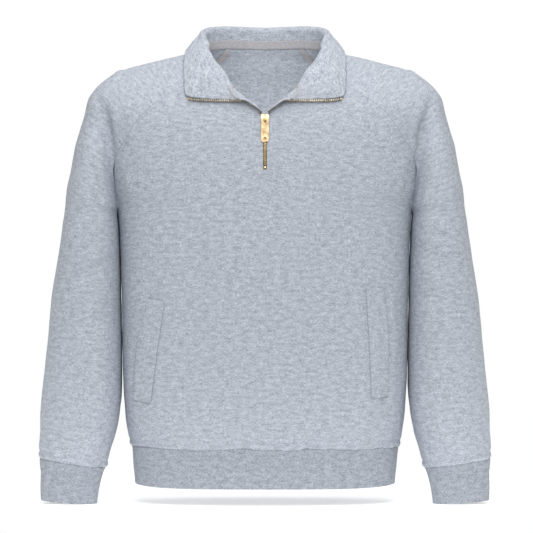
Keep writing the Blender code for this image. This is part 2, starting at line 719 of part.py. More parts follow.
def front_patches():
    """Both halves of the front panel."""
    grid = inset_edges(inset_edges(front_grid(), "br"), "t", NECK_INSET)
    both = []
    for sign in (1.0, -1.0):
        side = grid * np.array([sign, 1.0, 1.0])
        normals = grid_normals(side) * -sign
        formal = outward(side)
        lapel = len(LAPEL_SHARES) - 1
        normals[len(LAPEL_TURNS):] = formal[len(LAPEL_TURNS):]
        normals[:, lapel + 1:] = formal[:, lapel + 1:]
        both.append((with_folds(side, formal), normals))
    return both


def back_patches():
    """Both halves of the back panel."""
    outer = np.vstack([back_raglan + pit_spread(-1.0), side_seam()])
    rows = []
    centre_heights = along_heights(19.0, outer[len(back_raglan) - 1][2], len(back_raglan))
    for k, end in enumerate(outer):
        if k == 0:
            turn = np.linspace(180.0, BACK_RAGLAN_TURN, 40)
            rows.append(neck.at(turn, np.full_like(turn, -1.0 + 1e-9)))
            rows[-1][0, 0] = 0.0
            continue
        height = centre_heights[k] if k < len(back_raglan) else end[2]
        middle = on_neck(180.0, height)[0]
        middle[0] = 0.0
        rows.append(back_row(middle, end))
    grid = inset_edges(grid_from(rows, BACK_COLUMNS), "tbr")
    both = []
    for sign in (1.0, -1.0):
        side = grid * np.array([sign, 1.0, 1.0])
        points, normals = dressed(side)
        formal = outward(side)
        both.append((points, formal))
    return both


def along_heights(start, end, count):
    """Heights from start to end, evenly."""
    return np.linspace(start, end, count)


def back_row(start, end, count=40):
    """As body_row, behind: the sweep goes from straight back to the outer edge."""
    share = np.linspace(0.0, 1.0, count)
    turn0 = math.pi
    turn1 = math.atan2(end[0], -(end[1] - SIDE_Y))
    turn = turn0 + (turn1 - turn0) * share
    height = start[2] + (end[2] - start[2]) * share
    way = np.stack([np.sin(turn), -np.cos(turn), np.zeros_like(turn)], axis=1)
    origin = np.stack([np.zeros_like(turn), np.full_like(turn, SIDE_Y), height], axis=1)
    line = body_reach(origin, way, end[2])
    line[0] = start
    line[-1] = end
    return line


def sleeve_yoke_rows():
    """The sleeve above the armpit, a dense line a row from the front raglan over the shoulder to the back."""
    count = len(front_raglan)
    tops = along_table(SHOULDER, count)
    hearts = along_table(SLEEVE_HEART, count)
    rows = []
    for k in range(count):
        if k == 0:
            turn = np.linspace(FRONT_RAGLAN_TURN, BACK_RAGLAN_TURN, 60)
            rows.append(neck.at(turn, np.full_like(turn, -1.0 + 1e-9)))
            continue
        heart = np.array([hearts[k, 0], SIDE_Y, hearts[k, 1]])
        top = np.array([tops[k, 0], SIDE_Y, tops[k, 1]])
        out = unit(top - heart)
        front = np.array([0.0, -1.0, 0.0])
        third = np.cross(out, front)
        ends = []
        for point, sign in ((front_raglan[k], 1.0), (back_raglan[k], -1.0)):
            way = unit(point - heart)
            angle = math.atan2(abs(way @ front), way @ out)
            if k == count - 1:
                angle = math.pi
            flat = math.hypot(way @ front, way @ out)
            ends.append((sign * angle, (way @ third) / flat))
        (angle0, tilt0), (angle1, tilt1) = ends
        share = np.linspace(0.0, 1.0, 81)
        angle = angle0 + (angle1 - angle0) * share
        tilt = np.where(angle > 0, tilt0 * (angle / angle0) ** 2, tilt1 * (angle / angle1) ** 2)
        way = np.cos(angle)[:, None] * out + np.sin(angle)[:, None] * front + tilt[:, None] * third
        hearts_here = np.tile(heart, (len(way), 1))
        line = reach(hearts_here, way)
        if heart[2] < -140.0:
            own = reach(hearts_here, way, field=arm_field)
            far = np.linalg.norm(line - own, axis=1) > 26.0
            line = np.where(far[:, None], own, line)
        line[0] = front_raglan[k]
        line[-1] = back_raglan[k]
        rows.append(line)
    return rows


def arm_loop(level, slope=0.0, count=81):
    """An arm's level or sloping section, from its inner line round the front to the inner line again."""
    angle = np.linspace(math.pi, -math.pi, count)
    height = np.full(count, level)
    for _ in range(3):
        centre, wide, deep, middle, square = smooth_rows(ARM, height).T
        shape = (np.abs(np.cos(angle)) ** square + np.abs(np.sin(angle)) ** square) ** (-1.0 / square)
        across = wide * np.cos(angle) * shape
        height = level + slope * across
    return np.stack([centre + across, middle - deep * np.sin(angle) * shape, height], axis=1)


def sleeve_slope(level):
    """How far an arm's section tilts at a level: level in the upper arm, the cuff's own slope at the cuff."""
    return float(np.interp(-level, [260.0, 500.0, -CUFF_SEAM], [0.0, 0.04, CUFF_SEAM_SLOPE]))


def sleeve_patches(side):
    """One sleeve: an open arc over the shoulder, then a closed tube."""
    rows = sleeve_yoke_rows()
    yoke_count = len(rows)
    tube = [arm_loop(level, sleeve_slope(level)) for level in ARM_LEVELS]
    rows += tube
    grid = grid_from(rows, SLEEVE_COLUMNS)
    grid[:yoke_count] = inset_edges(grid[:yoke_count], "lr")
    grid = inset_edges(grid, "tb")
    middle = 0.5 * (grid[yoke_count - 1, 0] + grid[yoke_count - 1, -1])
    grid[yoke_count - 1, 0] = middle
    grid[yoke_count - 1, -1] = middle
    grid[yoke_count - 1, [0, -1]] += np.array([0.0, 0.0, -1.2])
    grid[:yoke_count, 0] += pit_spread(1.0)
    grid[:yoke_count, -1] += pit_spread(1.0)
    normals = np.where(
        (np.arange(len(grid)) < yoke_count)[:, None, None], outward(grid), outward(grid, arm_field)
    )
    pit = normals[yoke_count - 1, 0] + np.array([-1.0, 0.0, 0.0])
    normals[yoke_count - 1, [0, -1]] = unit(pit)
    flip = np.array([side, 1.0, 1.0])
    grid = with_folds(grid * flip, normals * flip)
    return [(grid, normals * flip)]


# ------------------------------------------------------------------ collar and neck tape

COLLAR_TURNS = 28
TIP_COLUMN = 5
TIP_STEP = 2.0
COLLAR_INSET = 0.7
FOLD_FOOT_INSET = 2.4
STAND_SHARES = (-1.0, -0.5)
FOLD_SHARES = (0.0, 0.05, 0.09, 0.13, 0.17, 0.25)
LEAF_SHARES = (0.42, 0.61, 0.8, 1.0)
TAPE_ROWS = 14
TAPE_WIDE = 12.0


def seam_turn(share):
    """Where the neck seam crosses the turned-over cloth: from the fold's foot out to the zip's edge."""
    return SEAM_LEAVES_FOLD + (SEAM_AT_ZIP - SEAM_LEAVES_FOLD) * np.clip(share, 0.0, 1.0)


def collar_turns(share):
    """The collar's columns at one share: from the neck seam or zip edge, through the tip, to the centre back."""
    start = seam_turn(share)
    tip = start + (COLLAR_TIP_TURN - start) * (0.55 + 0.45 * max(share, 0.0))
    front = np.linspace(start, tip, TIP_COLUMN + 1)
    share_back = np.linspace(0.0, 1.0, COLLAR_TURNS - TIP_COLUMN) ** 1.2
    return np.concatenate([front, tip + TIP_STEP + (180.0 - tip - TIP_STEP) * share_back])


def collar_patches():
    """Both halves of the collar, meeting at the centre back: stand, fold and leaf."""
    shares = STAND_SHARES + FOLD_SHARES + LEAF_SHARES
    grid = []
    for share in shares:
        turns = collar_turns(share)
        held = min(share, -1e-9) if share < 0 else share
        grid.append(neck.at(turns, np.full_like(turns, held)))
    grid = np.array(grid)
    grid[:, -1, 0] = 0.0
    below = len(STAND_SHARES)
    grid[0, 1:] += COLLAR_INSET * unit(grid[1, 1:] - grid[0, 1:])
    grid[:, 0] += COLLAR_INSET * unit(grid[:, 1] - grid[:, 0])
    grid[: below + 1, 0] = grid[below, 0]
    grid[: below + 3, 0] += FOLD_FOOT_INSET * unit(grid[: below + 3, 1] - grid[: below + 3, 0])
    normals = grid_normals(grid)
    formal = outward(grid[0])
    if np.sum(normals[0, 5:] * formal[5:]) < 0:
        normals = -normals
    normals[0, 1:] = formal[1:]
    normals[: below + 1, 0] = 0.5 * (normals[below + 1, 0] + formal[0])
    normals[:, -1, 0] = 0.0
    patch = (grid, unit(normals))
    return [patch, mirrored(patch)]


def neck_tape_patches():
    """A narrow tape inside the neck, standing up from the seam, from one fold round the back to the other."""
    turns = np.linspace(48.0, 180.0, TAPE_ROWS)
    seam = smooth_rows(NECK_SEAM, turns)[:, 0]
    rim = smooth_rows(RIM, turns)[:, 0]
    grid = []
    for share in np.linspace(0.0, 1.0, 3):
        grid.append(on_neck(turns, seam + share * TAPE_WIDE * np.clip((rim - seam) / 24.0, 0.3, 1.0)))
    grid = np.array(grid)
    grid[:, -1, 0] = 0.0
    normals = outward(grid, body_field)
    normals[:, -1, 0] = 0.0
    patch = (grid, unit(normals))
    return [patch, mirrored(patch)]


# ------------------------------------------------------------------ ribs

HEM_ROWS = 4
CUFF_ROWS = 4


def hem_patches():
    """The hem rib, a closed band under the front and back, sharing their bottom points round the body."""
    front = front_grid()[-1]
    outer = side_seam()[-1]
    middle = on_neck(180.0, outer[2])[0]
    middle[0] = 0.0
    back = resample(back_row(middle, outer), np.linspace(0.0, 1.0, BACK_COLUMNS + 1))[::-1]
    half = np.vstack([front, back[1:]])
    turns = np.degrees(np.arctan2(half[:, 0], -(half[:, 1] - SIDE_Y)))
    turns[-1] = 180.0
    levels = np.linspace(HEM_SEAM, HEM_BOTTOM, HEM_ROWS + 1)
    grid = np.array([on_neck(turns, level) for level in levels])
    grid[:, 0, 0] = 0.0
    grid[:, -1, 0] = 0.0
    grid = inset_edges(grid, "t")
    normals = outward(grid, body_field)
    normals[:, [0, -1], 0] = 0.0
    patch = (grid, unit(normals))
    return [patch, mirrored(patch)]


def cuff_patches(side):
    """One cuff, a closed tube sharing the sleeve's bottom points."""
    share = np.linspace(0.0, 1.0, SLEEVE_COLUMNS + 1)
    grid = []
    for step in np.linspace(0.0, 1.0, CUFF_ROWS + 1):
        level = CUFF_SEAM + (CUFF_BOTTOM - CUFF_SEAM) * step
        slope = CUFF_SEAM_SLOPE + (CUFF_EDGE_SLOPE - CUFF_SEAM_SLOPE) * step
        grid.append(resample(arm_loop(level, slope), share))
    grid = inset_edges(np.array(grid), "t")
    normals = outward(grid, arm_field)
    flip = np.array([side, 1.0, 1.0])
    return [(grid * flip, normals * flip)]


def build_neck():
    """Collar and tape."""
    wall("collar", collar_patches(), DOUBLE_FLEECE, "fleece")
    tape_lift = -0.5 * (DOUBLE_FLEECE + TAPE_CLOTH) - 0.9
    wall("neck_tape", neck_tape_patches(), TAPE_CLOTH, "tape", lift=tape_lift)


def build_ribs():
    """Hem rib and cuffs."""
    wall("hem_rib", hem_patches(), RIB_CLOTH, "rib")
    wall("cuff_left", cuff_patches(1.0), RIB_CLOTH, "rib")
    wall("cuff_right", cuff_patches(-1.0), RIB_CLOTH, "rib")


# ------------------------------------------------------------------ pockets and tapes

def on_front(across, height):
    """The front panel's points and outward directions at places in the front view, folds included."""
    shape = across.shape
    points = seen_from(-1.0, across.ravel(), height.ravel()).reshape(*shape, 3)
    normals = outward(points)
    return with_folds(points, normals), normals


def welt_patches(table):
    """A pocket welt: a narrow strip laid on the front."""
    key = np.linspace(0.0, len(table) - 1.0, 9)
    edges = smooth_rows(np.column_stack([np.arange(len(table)), table]), key)
    inner = edges[:, None, 0:2]
    outer = edges[:, None, 2:4]
    mix = np.linspace(0.0, 1.0, 3)[None, :, None]
    places = inner + (outer - inner) * mix
    return [on_front(places[..., 0], places[..., 1])]


def bag_patches(side):
    """A pocket bag, its two layers lying together behind the front."""
    across, height = np.meshgrid(np.linspace(BAG_INNER_X, BAG_OUTER_X, 6), np.linspace(BAG_TOP, BAG_BOTTOM, 8))
    round_off = np.clip((height - BAG_BOTTOM) / 40.0, 0.0, 1.0)
    across = across + (1.0 - np.sqrt(1.0 - (1.0 - round_off) ** 2)) * 18.0 * (BAG_OUTER_X - across) / 102.0
    return [on_front(across * side, height)]


def raglan_tape_patches(side):
    """A strip over the inside of a back raglan seam, where the neck shows it."""
    seam = resample(back_raglan[: RAGLAN_TAPE_ROWS + 1], np.linspace(0.06, 1.0, RAGLAN_TAPE_ROWS + 1))
    seam = reach(seam - outward(seam) * 12.0, outward(seam), far=24.0)
    normals = outward(seam)
    across = unit(np.cross(normals, np.gradient(seam, axis=0)))
    grid = []
    for share in (-0.5, 0.0, 0.5):
        place = seam + across * share * RAGLAN_TAPE_WIDE
        grid.append(reach(place - normals * 12.0, normals, far=24.0))
    grid = np.array(grid)
    flip = np.array([side, 1.0, 1.0])
    normals = outward(grid) * flip
    return [(with_folds(grid * flip, normals), normals)]


def build_pockets():
    """Welts on the front and bags behind it."""
    welt_lift = 0.5 * (FLEECE + WELT_THICK) + POCKET_GAP
    wall("welt_left", welt_patches(WELT_LEFT), WELT_THICK, "fleece", lift=welt_lift)
    wall("welt_right", welt_patches(WELT_RIGHT), WELT_THICK, "fleece", lift=welt_lift)
    bag_lift = -0.5 * (FLEECE + BAG_THICK) - POCKET_GAP
    wall("pocket_bag_left", bag_patches(1.0), BAG_THICK, "fleece", lift=bag_lift)
    wall("pocket_bag_right", bag_patches(-1.0), BAG_THICK, "fleece", lift=bag_lift)


# ------------------------------------------------------------------ zip

def carried(name, outlines, frames, kind):
    """A bar whose outline is carried along frames of origin, first way and second way."""
    points = []
    for outline, (origin, first, second) in zip(outlines, frames):
        points.append(origin + np.asarray(outline)[:, :1] * first + np.asarray(outline)[:, 1:] * second)
    count = len(points[0])
    faces = []
    for ring in range(len(points) - 1):
        for i in range(count):
            j = (i + 1) % count
            faces.append([ring * count + i, ring * count + j, (ring + 1) * count + j, (ring + 1) * count + i])
    last = (len(points) - 1) * count
    faces.append(list(range(count))[::-1])
    faces.append([last + i for i in range(count)])
    points = np.vstack(points)
    if six_volumes(points, faces) < 0:
        faces = [face[::-1] for face in faces]
    return add_mesh(name, points, faces, kind)


def six_volumes(points, faces):
    """Six times a closed mesh's volume, below zero where its faces point inward."""
    total = 0.0
    for face in faces:
        for b, c in zip(face[1:-1], face[2:]):
            total += points[face[0]] @ np.cross(points[b], points[c])
    return total


def zip_row(name, side):
    """The opened half of the zip: a bar of teeth just off the cloth's edge, from the slider to the collar tip."""
    lapel_turns = [turn for turn, _ in LAPEL_TURNS][::-1]
    turns = np.concatenate([lapel_turns, collar_turns(1.0)[1:TIP_COLUMN], [TEETH_LAST_TURN]])
    edge = neck.at(turns, np.ones_like(turns))
    inner = neck.at(turns, np.full_like(turns, 0.8))
    tangent = unit(np.gradient(edge, axis=0))
    away = edge - inner
    away = unit(away - np.sum(away * tangent, axis=1, keepdims=True) * tangent)
    up = unit(np.cross(tangent, away))
    centre = edge + away * (0.5 * TEETH_WIDE + TEETH_CLEAR)
    half_wide = 0.5 * TEETH_WIDE
    half_thick = 0.5 * TEETH_THICK
    outline = [(-half_wide, -half_thick), (half_wide, -half_thick), (half_wide, half_thick), (-half_wide, half_thick)]
    flip = np.array([side, 1.0, 1.0])
    frames = [(c * flip, a * flip, u * flip) for c, a, u in zip(centre, away, up)]
    carried(name, [outline] * len(frames), frames, "brass")
    size = END_STOP
    tip = frames[-1]
    start = tip[0] + tangent[-1] * flip * STACK_GAP
    end = start + tangent[-1] * flip * size[0]
    box = [(-0.5 * size[1], -0.5 * size[2]), (0.5 * size[1], -0.5 * size[2]),
           (0.5 * size[1], 0.5 * size[2]), (-0.5 * size[1], 0.5 * size[2])]
    carried(name.replace("row", "stop"), [box, box], [(start, tip[1], tip[2]), (end, tip[1], tip[2])], "brass")


def chest_frames(heights):
    """Frames down the centre front: a point of the cloth, the way to +X and the way out of the chest."""
    points = on_neck(np.zeros(len(heights)), np.asarray(heights, float))
    points[:, 0] = 0.0
    ways = outward(points, body_field)
    ways[:, 0] = 0.0
    ways = unit(ways)
    return [(p, np.array([1.0, 0.0, 0.0]), w) for p, w in zip(points, ways)]


def step_outline(levels):
    """A symmetric outline from rows of half width and depth, up one side and down the other."""
    right = [(wide, depth) for wide, depth in levels]
    left = [(-wide, depth) for wide, depth in reversed(levels)]
    return right + left


def build_zip():
    """Chain, slider, pull and stops."""
    zip_row("zip_row_left", 1.0)
    zip_row("zip_row_right", -1.0)
    tape_top = -0.5 * FLEECE - STACK_GAP
    chain = step_outline([
        (CHAIN_TAPE_HALF, tape_top - CHAIN_TAPE_THICK), (CHAIN_TAPE_HALF, tape_top),
        (CHAIN_HALF, tape_top), (CHAIN_HALF, 0.5 * TEETH_THICK),
    ])
    heights = np.linspace(CHAIN_TOP, CHAIN_BOTTOM, 7)
    carried("zip_chain", [chain] * 7, chest_frames(heights), "brass")
    slider = step_outline([
        (SLIDER_BACK_HALF, -PLATE_CLEAR - PLATE_THICK), (SLIDER_BACK_HALF, -PLATE_CLEAR),
        (SLIDER_CORE_HALF, -PLATE_CLEAR), (SLIDER_CORE_HALF, PLATE_CLEAR),
        (SLIDER_FRONT_HALF, PLATE_CLEAR), (SLIDER_FRONT_HALF, PLATE_CLEAR + PLATE_THICK),
    ])
    made = carried("zip_slider", [slider] * 2, chest_frames([SLIDER_TOP, SLIDER_BOTTOM]), "brass")
    bridge = bridge_arch()
    union = made.modifiers.new("bridge", "BOOLEAN")
    union.operation = "UNION"
    union.object = bridge
    stop = [(-STOP_HALF, -0.5 * FLEECE), (STOP_HALF, -0.5 * FLEECE), (STOP_HALF, STOP_DEPTH), (-STOP_HALF, STOP_DEPTH)]
    carried("zip_stop_bottom", [stop] * 2, chest_frames([STOP_TOP, STOP_BOTTOM]), "brass")
    build_pull()


def plate_face():
    """The slider's front face: a point at its middle height, and its down and out directions."""
    top, bottom = chest_frames([SLIDER_TOP, SLIDER_BOTTOM])
    rise = PLATE_CLEAR + PLATE_THICK
    high = top[0] + top[2] * rise
    low = bottom[0] + bottom[2] * rise
    down = unit(low - high)
    out = unit(np.cross(down, np.array([-1.0, 0.0, 0.0])))
    if out[1] > 0:
        out = -out
    return high, down, out


def slab(name, outline, hole, start, first, second, third, half, kind):
    """A plate from an outline, with holes, carried a half thickness each way along a third direction."""
    mesh = bmesh.new()
    rings = [outline] + list(hole)
    levels = []
    for level in (-half, half):
        chosen = []
        for ring in rings:
            corners = [mesh.verts.new((start + a * first + b * second + level * third) * MM) for a, b in ring]
            for i, corner in enumerate(corners):
                chosen.append(mesh.edges.new((corner, corners[(i + 1) % len(corners)])))
        levels.append(chosen)
    mesh.verts.ensure_lookup_table()
    count = sum(len(ring) for ring in rings)
    offset = 0
    for ring in rings:
        size = len(ring)
        for i in range(size):
            j = (i + 1) % size
            mesh.faces.new((mesh.verts[offset + i], mesh.verts[offset + j], mesh.verts[count + offset + j],
                            mesh.verts[count + offset + i]))
        offset += size
    for chosen in levels:
        bmesh.ops.triangle_fill(mesh, use_beauty=True, use_dissolve=False, edges=chosen)
    bmesh.ops.recalc_face_normals(mesh, faces=mesh.faces)
    data = bpy.data.meshes.new(name)
    mesh.to_mesh(data)
    mesh.free()
    data.materials.append(material(kind))
    made = bpy.data.objects.new(name, data)
    bpy.context.scene.collection.objects.link(made)
    return made


def bridge_arch():
    """The arch on the slider that the pull hangs from, as the shape joined to the slider."""
    high, down, out = plate_face()
    slope = -down[2]
    start = (SLIDER_TOP - BRIDGE_TOP) / slope
    end = (SLIDER_TOP - BRIDGE_BOTTOM) / slope
    sunk = -0.5 * PLATE_THICK
    outline = [
        (start, sunk), (start, BRIDGE_HIGH - 1.2), (start + 1.2, BRIDGE_HIGH), (end - 1.2, BRIDGE_HIGH),
        (end, BRIDGE_HIGH - 1.2), (end, sunk), (end - BRIDGE_BAR, sunk), (end - BRIDGE_BAR, BRIDGE_HIGH - BRIDGE_BAR),
        (start + BRIDGE_BAR, BRIDGE_HIGH - BRIDGE_BAR), (start + BRIDGE_BAR, sunk),
    ]
    across = np.array([1.0, 0.0, 0.0])
    made = slab("bridge_shape", outline, [], high, down, out, across, BRIDGE_HALF, "brass")
    made.hide_render = True
    made.display_type = "WIRE"
    return made


def build_pull():
    """The pull: a plate with a slot round the bridge and a round hole, hung on an empty at its axis."""
    high, down, out = plate_face()
    slope = -down[2]
    axis = high + down * (SLIDER_TOP - PULL_AXIS_Z) / slope + out * PULL_AXIS_RISE
    lean = math.radians(PULL_LEAN)
    along = np.array([0.0, -math.sin(lean), -math.cos(lean)])
    face = np.array([0.0, -math.cos(lean), math.sin(lean)])
    across = np.array([1.0, 0.0, 0.0])
    corner = 1.6
    bottom = PULL_LONG - PULL_ABOVE
    outline = [
        (-PULL_HALF, -PULL_ABOVE), (PULL_HALF, -PULL_ABOVE), (PULL_HALF, bottom - corner),
        (PULL_HALF - corner, bottom), (corner - PULL_HALF, bottom), (-PULL_HALF, bottom - corner),
    ]
    slot = [
        (-PULL_SLOT_HALF, PULL_ABOVE), (PULL_SLOT_HALF, PULL_ABOVE), (PULL_SLOT_HALF, PULL_SLOT_END),
        (-PULL_SLOT_HALF, PULL_SLOT_END),
    ]
    turns = np.linspace(0.0, 2.0 * math.pi, 17)[:-1]
    hole = [(PULL_HOLE_RADIUS * math.sin(t), PULL_HOLE_AT + PULL_HOLE_RADIUS * math.cos(t)) for t in turns]
    made = slab("pull_tab", outline, [slot, hole], np.zeros(3), across, along, face, 0.5 * PULL_THICK, "brass")
    hinge = bpy.data.objects.new("pull_axis", None)
    hinge.location = tuple(axis * MM)
    bpy.context.scene.collection.objects.link(hinge)
    made.parent = hinge


# ------------------------------------------------------------------ build

def clear_scene():
    """Removes what is in the scene."""
    for item in list(bpy.data.objects):
        bpy.data.objects.remove(item, do_unlink=True)


def build_panels():
    """Front, back and sleeves."""
    wall("front", front_patches(), FLEECE, "fleece")
    wall("back", back_patches(), FLEECE, "fleece")
    wall("sleeve_left", sleeve_patches(1.0), FLEECE, "fleece")
    wall("sleeve_right", sleeve_patches(-1.0), FLEECE, "fleece")


def main():
    """Builds every piece."""
    clear_scene()
    build_panels()
    build_neck()
    build_ribs()
    build_pockets()
    wall("raglan_tape_left", raglan_tape_patches(1.0), TAPE_CLOTH, "tape", lift=TAPE_LIFT)
    wall("raglan_tape_right", raglan_tape_patches(-1.0), TAPE_CLOTH, "tape", lift=TAPE_LIFT)
    build_zip()


main()
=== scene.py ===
"""The looks of a quarter-zip raglan sweatshirt, filled out as it is worn, with nobody in it.

Lengths inside this file are in millimetres and become metres where a mesh is made. The front faces -Y, the
wearer's left arm is at +X and +Z is up. The cloth's middle surface lies on one smooth form, a body and two
arms, and each panel is a grid of rows worked out on it. A shell gives the grid its thickness and a rounded rim,
so that two panels meet in the soft groove of a seam.
"""

from __future__ import annotations

import logging
import math
from dataclasses import dataclass, field
from enum import Enum
from typing import Callable, Iterable, Sequence

import bmesh
import bpy
import numpy as np
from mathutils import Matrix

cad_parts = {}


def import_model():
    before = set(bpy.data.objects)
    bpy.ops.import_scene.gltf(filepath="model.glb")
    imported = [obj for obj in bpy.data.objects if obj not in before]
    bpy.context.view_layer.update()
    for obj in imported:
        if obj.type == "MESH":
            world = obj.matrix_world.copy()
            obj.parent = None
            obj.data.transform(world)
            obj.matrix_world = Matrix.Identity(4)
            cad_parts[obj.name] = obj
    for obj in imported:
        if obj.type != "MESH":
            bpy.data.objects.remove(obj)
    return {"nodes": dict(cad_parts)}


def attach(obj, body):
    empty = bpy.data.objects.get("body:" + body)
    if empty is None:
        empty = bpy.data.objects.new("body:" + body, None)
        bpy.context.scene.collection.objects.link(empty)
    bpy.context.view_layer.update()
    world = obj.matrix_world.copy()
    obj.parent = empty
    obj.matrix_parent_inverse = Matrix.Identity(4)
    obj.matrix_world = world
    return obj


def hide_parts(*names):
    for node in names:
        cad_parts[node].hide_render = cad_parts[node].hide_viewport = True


LOG = logging.getLogger("sweatshirt")
Array = np.ndarray
Socket = bpy.types.NodeSocket

MM = 0.001
BODY_NAME = "garment"
PULL_BODY = "pull_tab"
CLOTH_SUFFIX = "_cloth"
ACROSS = np.array([1.0, 0.0, 0.0])
MIRROR = np.array([-1.0, 1.0, 1.0])

# ---- sizes shared by the pieces, in millimetres ----
FLEECE = 2.4
RIB_CLOTH = 3.2
DOUBLE_FLEECE = 4.0
TAPE_CLOTH = 1.0
SLIT_HALF = 3.9
SEAM_INSET = 1.2
PIT_FADE = 24.0
SIDE_Y = 5.0
HEM_SEAM = -615.0
HEM_BOTTOM = -677.0
CUFF_SEAM = -640.0
CUFF_BOTTOM = -702.0
CUFF_CENTRE_X = 301.7
ARM_INSIDE_X = 236.0
CUFF_SEAM_SLOPE = 0.136
CUFF_EDGE_SLOPE = 0.08

# the body's level sections: height, half width, depth to the front and back of SIDE_Y, squareness
BODY = np.array([
    (62.0, 92.0, 44.0, 62.0, 2.0),
    (46.0, 93.0, 47.0, 64.0, 2.0),
    (32.0, 95.0, 52.0, 66.0, 2.0),
    (20.0, 98.0, 56.0, 68.0, 2.0),
    (13.0, 104.0, 58.0, 70.0, 2.0),
    (5.0, 125.0, 60.0, 73.0, 2.0),
    (-4.0, 164.0, 61.5, 75.0, 2.0),
    (-12.0, 195.0, 63.5, 77.0, 2.0),
    (-20.0, 223.0, 68.0, 80.0, 2.0),
    (-35.0, 252.0, 78.0, 86.0, 2.15),
    (-50.0, 266.0, 88.0, 91.0, 2.4),
    (-66.0, 272.0, 96.0, 95.0, 2.7),
    (-82.0, 271.5, 103.0, 98.0, 2.9),
    (-114.0, 262.0, 111.0, 102.0, 3.0),
    (-146.0, 250.5, 115.0, 104.0, 3.0),
    (-178.0, 244.0, 116.5, 105.0, 3.0),
    (-210.0, 238.5, 117.0, 105.0, 2.9),
    (-240.0, 232.0, 117.5, 105.0, 2.7),
    (-300.0, 228.0, 118.0, 105.0, 2.6),
    (-400.0, 225.5, 118.0, 105.0, 2.6),
    (-500.0, 224.0, 118.5, 105.5, 2.6),
    (-565.0, 220.0, 118.5, 105.5, 2.6),
    (-600.0, 214.0, 115.0, 102.0, 2.6),
    (-620.0, 208.5, 110.0, 98.0, 2.6),
    (-645.0, 206.5, 107.5, 96.0, 2.6),
    (-680.0, 203.5, 104.0, 93.5, 2.6),
])

# an arm's level sections: height, centre x, half width, half depth, centre y, squareness
ARM = np.array([
    (-34.0, 232.0, 6.0, 16.0, 5.0, 2.0),
    (-50.0, 240.0, 20.0, 34.0, 5.0, 2.0),
    (-66.0, 250.0, 25.0, 45.0, 5.0, 2.0),
    (-82.0, 256.0, 25.8, 52.0, 5.0, 2.0),
    (-114.0, 262.0, 29.8, 62.0, 5.0, 2.1),
    (-146.0, 265.0, 35.8, 72.0, 5.0, 2.2),
    (-178.0, 269.5, 36.8, 76.0, 5.0, 2.3),
    (-210.0, 274.0, 38.8, 79.0, 5.0, 2.4),
    (-236.0, 273.6, 41.2, 80.0, 5.0, 2.5),
    (-246.0, 275.9, 40.7, 80.0, 5.0, 2.5),
    (-262.0, 276.1, 42.7, 80.0, 4.0, 2.5),
    (-318.0, 278.9, 47.9, 78.0, 2.0, 2.4),
    (-383.0, 283.25, 53.95, 74.0, 0.0, 2.3),
    (-446.0, 285.55, 57.25, 70.0, -4.0, 2.2),
    (-510.0, 288.7, 60.5, 67.0, -8.0, 2.2),
    (-542.0, 290.8, 62.0, 65.0, -10.0, 2.2),
    (-558.0, 292.0, 61.8, 64.0, -12.0, 2.2),
    (-590.0, 295.0, 59.0, 60.0, -16.0, 2.2),
    (-621.0, 300.0, 55.0, 53.0, -20.0, 2.1),
    (-640.0, 301.7, 51.5, 45.0, -22.0, 2.1),
    (-655.0, 304.5, 47.5, 36.0, -24.0, 2.1),
    (-685.0, 308.0, 44.0, 31.0, -28.0, 2.1),
    (-712.0, 309.0, 41.5, 29.0, -31.0, 2.1),
])

# neck opening: turn about the neck from the front in degrees, height of the fold's foot on the form
RIM = np.array([
    (2.0, -92.0), (9.5, -81.0), (16.5, -74.0), (25.6, -64.0), (33.5, -50.3), (39.9, -37.0), (46.6, -26.0),
    (53.7, -15.5), (60.3, -2.5), (69.9, 9.0), (80.0, 23.0), (90.0, 34.0), (112.0, 45.0), (133.0, 47.5),
    (154.0, 47.0), (180.0, 46.0),
])
# neck seam, from where it comes out of the fold to the centre back: turn, height
NECK_SEAM = np.array([
    (33.5, -50.3), (42.0, -38.5), (52.3, -24.7), (60.0, -13.0), (68.0, 1.0), (75.0, 7.5), (90.0, 11.0),
    (105.0, 15.0), (120.0, 18.5), (137.0, 20.0), (160.0, 19.5), (180.0, 19.0),
])
SEAM_LEAVES_FOLD = 33.5
SEAM_AT_ZIP = 21.5
FRONT_RAGLAN_TURN = 52.3
BACK_RAGLAN_TURN = 137.0
COLLAR_TIP_TURN = 46.6
# outer edge of the turned-over cloth: turn, x, y, z; up to the tip it is the zip's edge
LEAF_EDGE = np.array([
    (2.0, 4.1, -103.5, -91.5), (5.5, 11.0, -104.5, -85.6), (9.5, 18.0, -105.5, -80.5),
    (16.5, 32.0, -105.0, -72.5), (25.6, 49.0, -101.5, -70.5), (33.5, 72.5, -99.5, -70.5),
    (39.9, 98.0, -97.5, -70.0),
    (46.6, 121.5, -93.5, -66.5), (48.6, 124.6, -91.5, -61.5),
    (53.7, 126.0, -83.0, -50.5), (60.3, 126.5, -68.0, -32.0), (69.9, 126.5, -50.0, -9.0),
    (80.0, 125.0, -24.0, 7.0), (90.0, 121.0, 3.0, 12.0), (112.0, 104.0, 50.0, 9.5), (133.0, 76.0, 78.0, 5.5),
    (154.0, 40.0, 88.0, 3.0), (180.0, 0.0, 91.0, 2.0),
])
# turn and how far the fold rounds out
FOLD_RADIUS = np.array([
    (2.0, 1.3), (5.5, 1.4), (9.5, 1.9), (16.5, 3.0), (25.6, 4.6), (60.0, 4.8), (180.0, 4.8),
])

# raglan seams in the front view: x, height, from the neck to where they reach the armpit crease
FRONT_RAGLAN = np.array([(86.0, -24.7), (128.0, -50.0), (162.0, -71.0), (186.0, -89.0), (214.0, -127.0),
                         (234.0, -160.0), (237.5, -180.0), (235.5, -205.0)])
BACK_RAGLAN = np.array([(56.0, 20.0), (84.0, -12.0), (118.0, -50.0), (160.0, -88.0), (205.0, -128.0),
                        (236.0, -160.0), (235.0, -205.0)])
